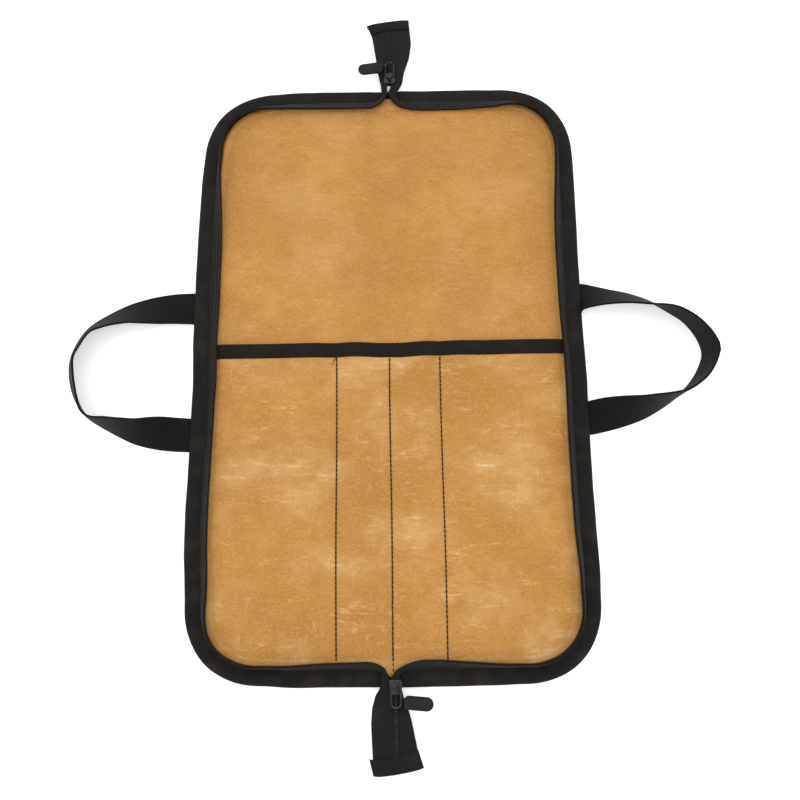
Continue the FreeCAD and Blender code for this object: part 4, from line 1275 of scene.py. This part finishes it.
def make_tail(end):
    """One tail: its two tapes, their coils, and the folded tab sewn over its end."""
    end_sign = ENDS[end]
    runs = tail_runs(end)
    for side, side_sign in SIDES.items():
        name = end + "_" + side + "_tail_"
        node = end + "_tail_" + side
        sections = np.array([root_section(end, side)] + [tail_section(end, side, y) for y in runs])
        sections[..., 0] = sections[..., 0] * side_sign + tail_middle(end, sections[..., 1])
        sections[..., 1] = np.minimum(sections[..., 1], tab_reach(end, sections[..., 0]) - 1.6)
        sections[..., 1] *= end_sign
        tape = ribbon(name + "tape", sections, TAPE_THICK, flip=side_sign * end_sign > 0)
        dressed(tape, ZIP_TAPE)
        bends_at_tail(tape, end, node + "_tape")

        first_turn = ROOT_Y + 0.1 + (COIL_PITCH / 2 if side == "right" else 0.0)
        coil_runs = np.concatenate([[first_turn], np.arange(ROOT_Y + COIL_STEP, runs[-1] - 9.0, COIL_STEP)])
        line = along_tail(end, side_sign, coil_runs, 0.0, 0.45)
        coil = tube(name + "coil", helix(line, 1.0, flatten=0.6), 0.34, around=5)
        dressed(coil, COIL)
        bends_at_tail(coil, end, node + "_coil")
        cord = tube(name + "cord", line, 0.72, around=8)
        dressed(cord, ZIP_TAPE)
        bends_at_tail(cord, end)
        seam_runs = coil_runs[(coil_runs > 244.0) & (coil_runs < runs[-1] - 13.5)]
        rows = []
        for offset in (2.0, 3.4):
            row = along_tail(end, side_sign, seam_runs, offset, 0.34)
            rows += stitches_along(row, upright(len(row)), 1.7, 0.5, 0.16)
        sewn(name + "stitches", rows, FINEST_THREAD, end + "_tail")
    make_end_tab(end)


def tab_place(end, share, back, rise):
    """A point of the tab: share of the way across, back from its far edge, and rise above its middle."""
    far_x, far_y = tab_line(end, "far", share)
    near_x, near_y = tab_line(end, "near", share)
    rounded = 0.8 * (abs(share - 0.5) * 2) ** 8
    y = far_y + (near_y - far_y) * back - rounded
    wave = 0.1 * math.sin(share * 9.0)
    return (far_x + (near_x - far_x) * back, y * ENDS[end], TAIL_Z + wave + rise)


def make_end_tab(end):
    """The tape folded over a tail's end, a little slanted, with two rows of stitches."""
    shares = np.linspace(0.0, 1.0, 30)
    sections = [[tab_place(end, share, back, rise) for back, rise in TAB_PROFILE] for share in shares]
    tab = ribbon(end + "_tab_fold", sections, 0.6, flip=ENDS[end] < 0)
    dressed(tab, END_TAPE)
    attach(tab, end + "_tail")
    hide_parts(end + "_end_tab")
    rows = []
    for back in (0.70, 0.86):
        row = [tab_place(end, share, back, HALF_TAB + 0.36) for share in shares[2:-2]]
        rows += stitches_along(row, upright(len(row)), 2.0, 0.8, 0.12)
    sewn(end + "_tab_stitches", rows, FINE_THREAD, end + "_tail")


# --- the sliders and pulls ---


def turned_corner(start, corner, stop, shares):
    """Points of a quadratic turn from start to stop, pulled towards the corner."""
    points = []
    for share in shares:
        points.append(start * (1 - share) ** 2 + corner * 2 * share * (1 - share) + stop * share ** 2)
    return points


def rounded_outline(corners, radius, steps=5):
    """A polygon with its corners rounded off."""
    corners = np.asarray(corners, float)
    points = []
    for number, here in enumerate(corners):
        before = corners[number - 1] - here
        after = corners[(number + 1) % len(corners)] - here
        reach = min(radius, 0.45 * np.linalg.norm(before), 0.45 * np.linalg.norm(after))
        first = here + before / np.linalg.norm(before) * reach
        last = here + after / np.linalg.norm(after) * reach
        points += turned_corner(first, here, last, [step / steps for step in range(steps + 1)])
    return np.array(points)


def slab(outline, low, high, bevel):
    """Points and faces of a slab with softened edges, as rings from its bottom to its top."""
    middle = outline.mean(axis=0)
    spokes = outline - middle
    shrink = (1 - bevel / np.linalg.norm(spokes, axis=1))[:, None]
    inner_most = middle + spokes * (shrink * 0.93)
    inner = middle + spokes * shrink
    between = middle + spokes * ((1 + shrink) / 2 + 0.01)
    part_way = bevel * 0.35
    levels = (
        (inner_most, low), (inner, low), (between, low + part_way), (outline, low + bevel),
        (outline, high - bevel), (between, high - part_way), (inner, high), (inner_most, high),
    )
    count = len(outline)
    rings = [np.column_stack([ring, np.full(count, level)]) for ring, level in levels]
    faces = grid_faces(len(rings), count, wrap=True)
    faces.append(tuple(range(count))[::-1])
    last = (len(rings) - 1) * count
    faces.append(tuple(range(last, last + count)))
    return np.concatenate(rings), faces


def slider_part(name, parts, end, body, node=None, material=METAL):
    """Several sets of points and faces as one stiff part, carried from the plain axis to a tail's own."""
    points, faces = merged(parts)
    points = points * np.array([ENDS[end], ENDS[end], 1.0])
    points[:, 0] += AXIS_X[end]
    part = piece_from(end + name, points, faces, points[:, :2], sharp_degrees=40)
    dressed(part, material)
    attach(part, end + body)
    if node:
        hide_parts(end + node)


def arc_line(corners, steps=8):
    """A smooth open line through the corners of a path, as quadratic turns."""
    corners = np.asarray(corners, float)
    points = [corners[0]]
    for number in range(1, len(corners) - 1):
        here = corners[number]
        start = (corners[number - 1] + here) / 2 if number > 1 else corners[0]
        stop = (corners[number + 1] + here) / 2 if number < len(corners) - 2 else corners[-1]
        points += turned_corner(start, here, stop, [step / steps for step in range(1, steps + 1)])
    return np.array(points)


UPPER_PLATE = (7.75, 8.9)
LOWER_PLATE = (3.9, 5.0)
UPPER_LIP = (7.15, 8.2)
LOWER_LIP = (4.6, 5.65)
PLATE_HALF = 4.5
POST_HALF = 0.15
POST_LEVELS = (4.6, 8.0)
LINK_HALF = 3.3
LINK_LEVEL = 9.8
LINK_START = 4.8
LINK_LONG = 13.6
LINK_MIDDLE = 14.5
PULL_TURN = {"top": 7.0, "bottom": -6.0}
PULL_RADIUS = 4.75
PULL_LONG = 20.0


def make_slider(end):
    """A slider: two rounded plates with lips, the post between the coils, the bail, link and pull."""
    front = SLIDER_FRONT[end]
    nose = [
        (-PLATE_HALF, front), (PLATE_HALF, front), (PLATE_HALF, front + 4.6),
        (3.3, front + 10.0), (-3.3, front + 10.0), (-PLATE_HALF, front + 4.6),
    ]
    outline = rounded_outline(nose, 1.8)
    parts = [slab(outline, *UPPER_PLATE, 0.4), slab(outline, *LOWER_PLATE, 0.4)]
    for sign in (-1, 1):
        lip = [
            (sign * 3.5, front + 0.4), (sign * 4.4, front + 0.4), (sign * 4.4, front + 4.6),
            (sign * 3.3, front + 9.4), (sign * 2.8, front + 9.4), (sign * 3.5, front + 4.6),
        ]
        lip_outline = rounded_outline(lip[::sign], 0.4, 3)
        parts += [slab(lip_outline, *UPPER_LIP, 0.25), slab(lip_outline, *LOWER_LIP, 0.25)]
    post = [
        (-POST_HALF, front + 0.1), (POST_HALF, front + 0.1), (POST_HALF, front + 3.0), (-POST_HALF, front + 3.0),
    ]
    parts.append(slab(rounded_outline(post, 0.1, 3), *POST_LEVELS, 0.2))
    slider_part("_slider_shell", parts, end, "_slider_body", "_slider")

    base = front + 1.6
    bail = [(0.6, 8.3), (0.5, 11.0), (1.6, 11.5), (4.8, 11.5), (5.9, 11.0), (5.8, 8.3)]
    points, faces = tube_points(arc_line([(0, base + out, level) for out, level in bail]), 0.55, 10)
    points[:, 0] *= 1.5
    slider_part("_bail_arch", [(points, faces)], end, "_slider_body", "_slider_bail")

    near = front + LINK_START + LINK_HALF
    far = front + LINK_START + LINK_LONG - LINK_HALF
    spots = np.linspace(0.0, math.pi, 15)
    oval = [(LINK_HALF * math.cos(s), far + LINK_HALF * math.sin(s), LINK_LEVEL) for s in spots]
    oval += [(-LINK_HALF * math.cos(s), near - LINK_HALF * math.sin(s), LINK_LEVEL) for s in spots]
    slider_part("_link_ring", [tube_points(oval, 0.7, 12, closed=True)], end, "_link", "_pull_link")
    make_pull(end, front + LINK_MIDDLE)


def make_pull(end, middle):
    """The moulded grip, with a raised panel on each face, and the wire eye round the link."""
    pivot = -LINK_HALF
    start = pivot - 2.2
    tip = start - PULL_LONG
    spots = np.linspace(-math.pi / 2, math.pi / 2, 13)
    outline = [
        (tip + PULL_RADIUS - PULL_RADIUS * math.cos(s), middle + PULL_RADIUS * math.sin(s)) for s in spots
    ]
    outline += [
        (start - 2.0, middle + PULL_RADIUS * 0.97), (start, middle + PULL_RADIUS * 0.62),
        (start, middle - PULL_RADIUS * 0.62), (start - 2.0, middle - PULL_RADIUS * 0.97),
    ]
    turn = math.radians(PULL_TURN[end])
    turned = np.array([(math.cos(turn), math.sin(turn)), (-math.sin(turn), math.cos(turn))])
    hinge = np.array([pivot, middle])
    outline = hinge + (np.array(outline)[::-1] - hinge) @ turned
    centre = outline.mean(axis=0)
    grip = slab(outline, LINK_LEVEL - 1.2, LINK_LEVEL + 1.2, 0.55)
    raised = slab(centre + (outline - centre) * 0.72, LINK_LEVEL - 1.38, LINK_LEVEL + 1.38, 0.2)
    slider_part("_grip", [grip, raised], end, "_pull", "_pull_tab", GRIP)
    spots = np.linspace(0.0, 2 * math.pi, 25)[:-1]
    eye = [(pivot - 0.3 + 1.75 * math.cos(s), middle, LINK_LEVEL + 1.75 * math.sin(s)) for s in spots]
    slider_part("_eye", [tube_points(eye, 0.5, 10, closed=True)], end, "_pull")


# --- the handles ---

STRAP_WIDTH = 25.0
STRAP_THICK = 1.5
STRAP_Z = 0.8
SEWN_IN = 35.5
ON_EDGE = np.array([-0.31, -0.31, 0.90])
HANDLE_ROOTS = {"left": {"upper": 45.1, "lower": -54.4}, "right": {"upper": 48.6, "lower": -45.6}}
# each station: (X, Y, angle) of the edge that rests on the table, where 90 lies flat and 0 stands on edge
HANDLE_STATIONS = {
    "left": (
        (146, 57.6, 90), (150, 57.6, 88), (163, 57, 82), (180, 54.2, 68), (195, 49.8, 47), (204, 45.8, 32),
        (213, 41, 20), (221, 36, 12), (228, 30.3, 6), (233.5, 22.5, 4), (238.5, 11, 4), (240, 0, 4),
        (238, -14, 7), (233, -27, 8), (225.5, -37.6, 6), (216, -44.5, 5), (208, -49.3, 16), (199, -54.3, 27),
        (187, -60.2, 42), (173, -64.2, 62), (161, -66.2, 78), (150, -66.8, 87), (146, -66.9, 90),
    ),
    "right": (
        (146, 61.1, 90), (150, 60.7, 74), (156, 59.2, 54), (168, 56.2, 32), (184, 52.4, 17), (199, 46.5, 4),
        (213, 37.5, -14), (224.5, 28.5, -20), (232.5, 16, -25), (235.5, 4.2, -28), (233.5, -4, -24),
        (227.5, -15, -19), (219, -25, -9), (209, -33, 4), (199, -39.8, 20), (186, -47, 38), (168, -53.5, 60),
        (151, -57.8, 84), (146, -58.1, 90),
    ),
}
ACROSS_STRAP = np.array([0.0, 0.03, 0.15, 0.32, 0.5, 0.68, 0.85, 0.97, 1.0])


def smooth_path(stations, step):
    """A smooth line through stations, as points about step apart (Catmull-Rom)."""
    stations = np.asarray(stations, float)
    padded = np.vstack([2 * stations[0] - stations[1], stations, 2 * stations[-1] - stations[-2]])
    points = []
    for number in range(1, len(padded) - 2):
        before, here, after, later = padded[number - 1:number + 3]
        count = max(2, int(np.linalg.norm(after[:2] - here[:2]) / step))
        for share in np.arange(count) / count:
            points.append(
                0.5 * (2 * here + (after - before) * share
                       + (2 * before - 5 * here + 4 * after - later) * share ** 2
                       + (3 * here - before - 3 * after + later) * share ** 3)
            )
    points.append(stations[-1])
    return np.array(points)


def handle_sections(side):
    """Sections of one handle: sewn end, loop and sewn end, each from the outer edge to the inner."""
    path = smooth_path(HANDLE_STATIONS[side], 3.0)
    headings = np.gradient(path[:, :2], axis=0)
    headings[0] = (1.0, 0.0)
    headings[-1] = (-1.0, 0.0)
    loop = []
    for (x, y, angle), (ahead_x, ahead_y) in zip(path, unit(headings)):
        ahead = np.array([ahead_x, ahead_y, 0.0])
        inward = np.array([ahead_y, -ahead_x, 0.0])
        standing = ON_EDGE - ahead * np.dot(ON_EDGE, ahead)
        standing /= np.linalg.norm(standing)
        turn = math.radians(angle)
        wide = inward * math.sin(turn) + standing * math.cos(turn)
        wide *= STRAP_WIDTH / np.linalg.norm(wide)
        rest = np.array([x, y, 0.1 + (STRAP_Z - 0.1) * math.sin(turn) ** 2])
        loop.append(rest + wide * ACROSS_STRAP[:, None])
    ends = []
    for place, inward in (("upper", -1.0), ("lower", 1.0)):
        y = HANDLE_ROOTS[side][place] - inward * STRAP_WIDTH / 2 + inward * STRAP_WIDTH * ACROSS_STRAP
        xs = np.linspace(HALF_WIDTH - SEWN_IN, HALF_WIDTH - 3.5, 17)
        ends.append([np.column_stack([np.full(len(y), x), y, np.full(len(y), STRAP_Z)]) for x in xs])
    return np.array(ends[0] + loop + ends[1][::-1])


def box_stitches(root, sign):
    """A box with a cross in it, sewn through one end of a handle and seen on the case's underside."""
    inner = HALF_WIDTH - SEWN_IN + 2.5
    outer = HALF_WIDTH - 13.0
    low = root - STRAP_WIDTH / 2 + 2.5
    high = root + STRAP_WIDTH / 2 - 2.5
    corners = [
        (inner, low), (outer, low), (outer, high), (inner, high),
        (inner, low), (outer, high), (outer, low), (inner, high),
    ]
    steps = np.linspace(0.0, 1.0, 24)
    lines = []
    for (x0, y0), (x1, y1) in zip(corners, corners[1:]):
        line = np.column_stack([(x0 + (x1 - x0) * steps) * sign, y0 + (y1 - y0) * steps, np.full(24, 0.06)])
        lines += stitches_along(line, upright(len(line), -1.0), 2.4, 0.8, 0.12)
    return lines


def make_handle(side):
    """One webbing handle, with its box stitches where it is sewn under the edge."""
    sign = SIDES[side]
    sections = EDGES[side].mirrored(handle_sections(side))
    strap = ribbon(side + "_handle", sections, STRAP_THICK)
    dressed(strap, WEBBING)
    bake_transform(strap)
    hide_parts(side + "_handle_loop", side + "_handle_ends")
    lines = [line for root in HANDLE_ROOTS[side].values() for line in box_stitches(root, sign)]
    sewn(side + "_handle_stitches", lines, FINE_THREAD, side + "_half")


# --- everything together ---

for side in SIDES:
    make_sheets(side)
    make_pocket_trim(side)
    make_edge_binding(side)
    make_zip_wall(side)
    make_handle(side)
make_centre_seam()
for end in ENDS:
    make_tail(end)
    make_slider(end)


# --- the floor, the light and the camera ---


def make_floor():
    """A wide pale floor just under the case."""
    half = 3000.0
    points = [(-half, -half, -0.3), (half, -half, -0.3), (half, half, -0.3), (-half, half, -0.3)]
    floor = piece_from("studio_floor", points, [(0, 1, 2, 3)])
    floor.data.materials.append(PAPER)


def soft_light(name, place, aim, size, power):
    """A large square light that faces a point."""
    light = bpy.data.lights.new(name, "AREA")
    light.shape = "SQUARE"
    light.size = size
    light.energy = power
    lamp = bpy.data.objects.new(name, light)
    lamp.location = place
    lamp.rotation_euler = (Vector(aim) - Vector(place)).to_track_quat("-Z", "Y").to_euler()
    bpy.context.collection.objects.link(lamp)


def make_studio():
    """An even white surround, a broad soft light from above on the left and a weaker one on the right."""
    world = bpy.data.worlds.new("studio")
    world.use_nodes = True
    background = world.node_tree.nodes["Background"]
    background.inputs["Color"].default_value = (1.0, 1.0, 1.0, 1.0)
    background.inputs["Strength"].default_value = 1.15
    bpy.context.scene.world = world
    soft_light("key_light", (-0.9, 0.7, 1.5), (0.0, 0.0, 0.0), 1.8, 5.0)
    soft_light("fill_light", (1.1, -0.5, 1.3), (0.0, 0.0, 0.0), 1.8, 3.0)


def make_camera():
    """The camera above the case, a little towards the pocket end, looking down."""
    lens = bpy.data.cameras.new("camera")
    lens.lens = 45.0
    lens.sensor_width = 36.0
    lens.clip_start = 0.01
    camera = bpy.data.objects.new("camera", lens)
    place = Vector((0.0042, -0.2391, 0.7128))
    aim = Vector((0.0074, -0.0293, 0.0))
    camera.location = place
    camera.rotation_euler = (aim - place).to_track_quat("-Z", "Y").to_euler()
    bpy.context.collection.objects.link(camera)
    bpy.context.scene.camera = camera


make_floor()
make_studio()
make_camera()
bpy.context.scene.view_settings.view_transform = "Standard"
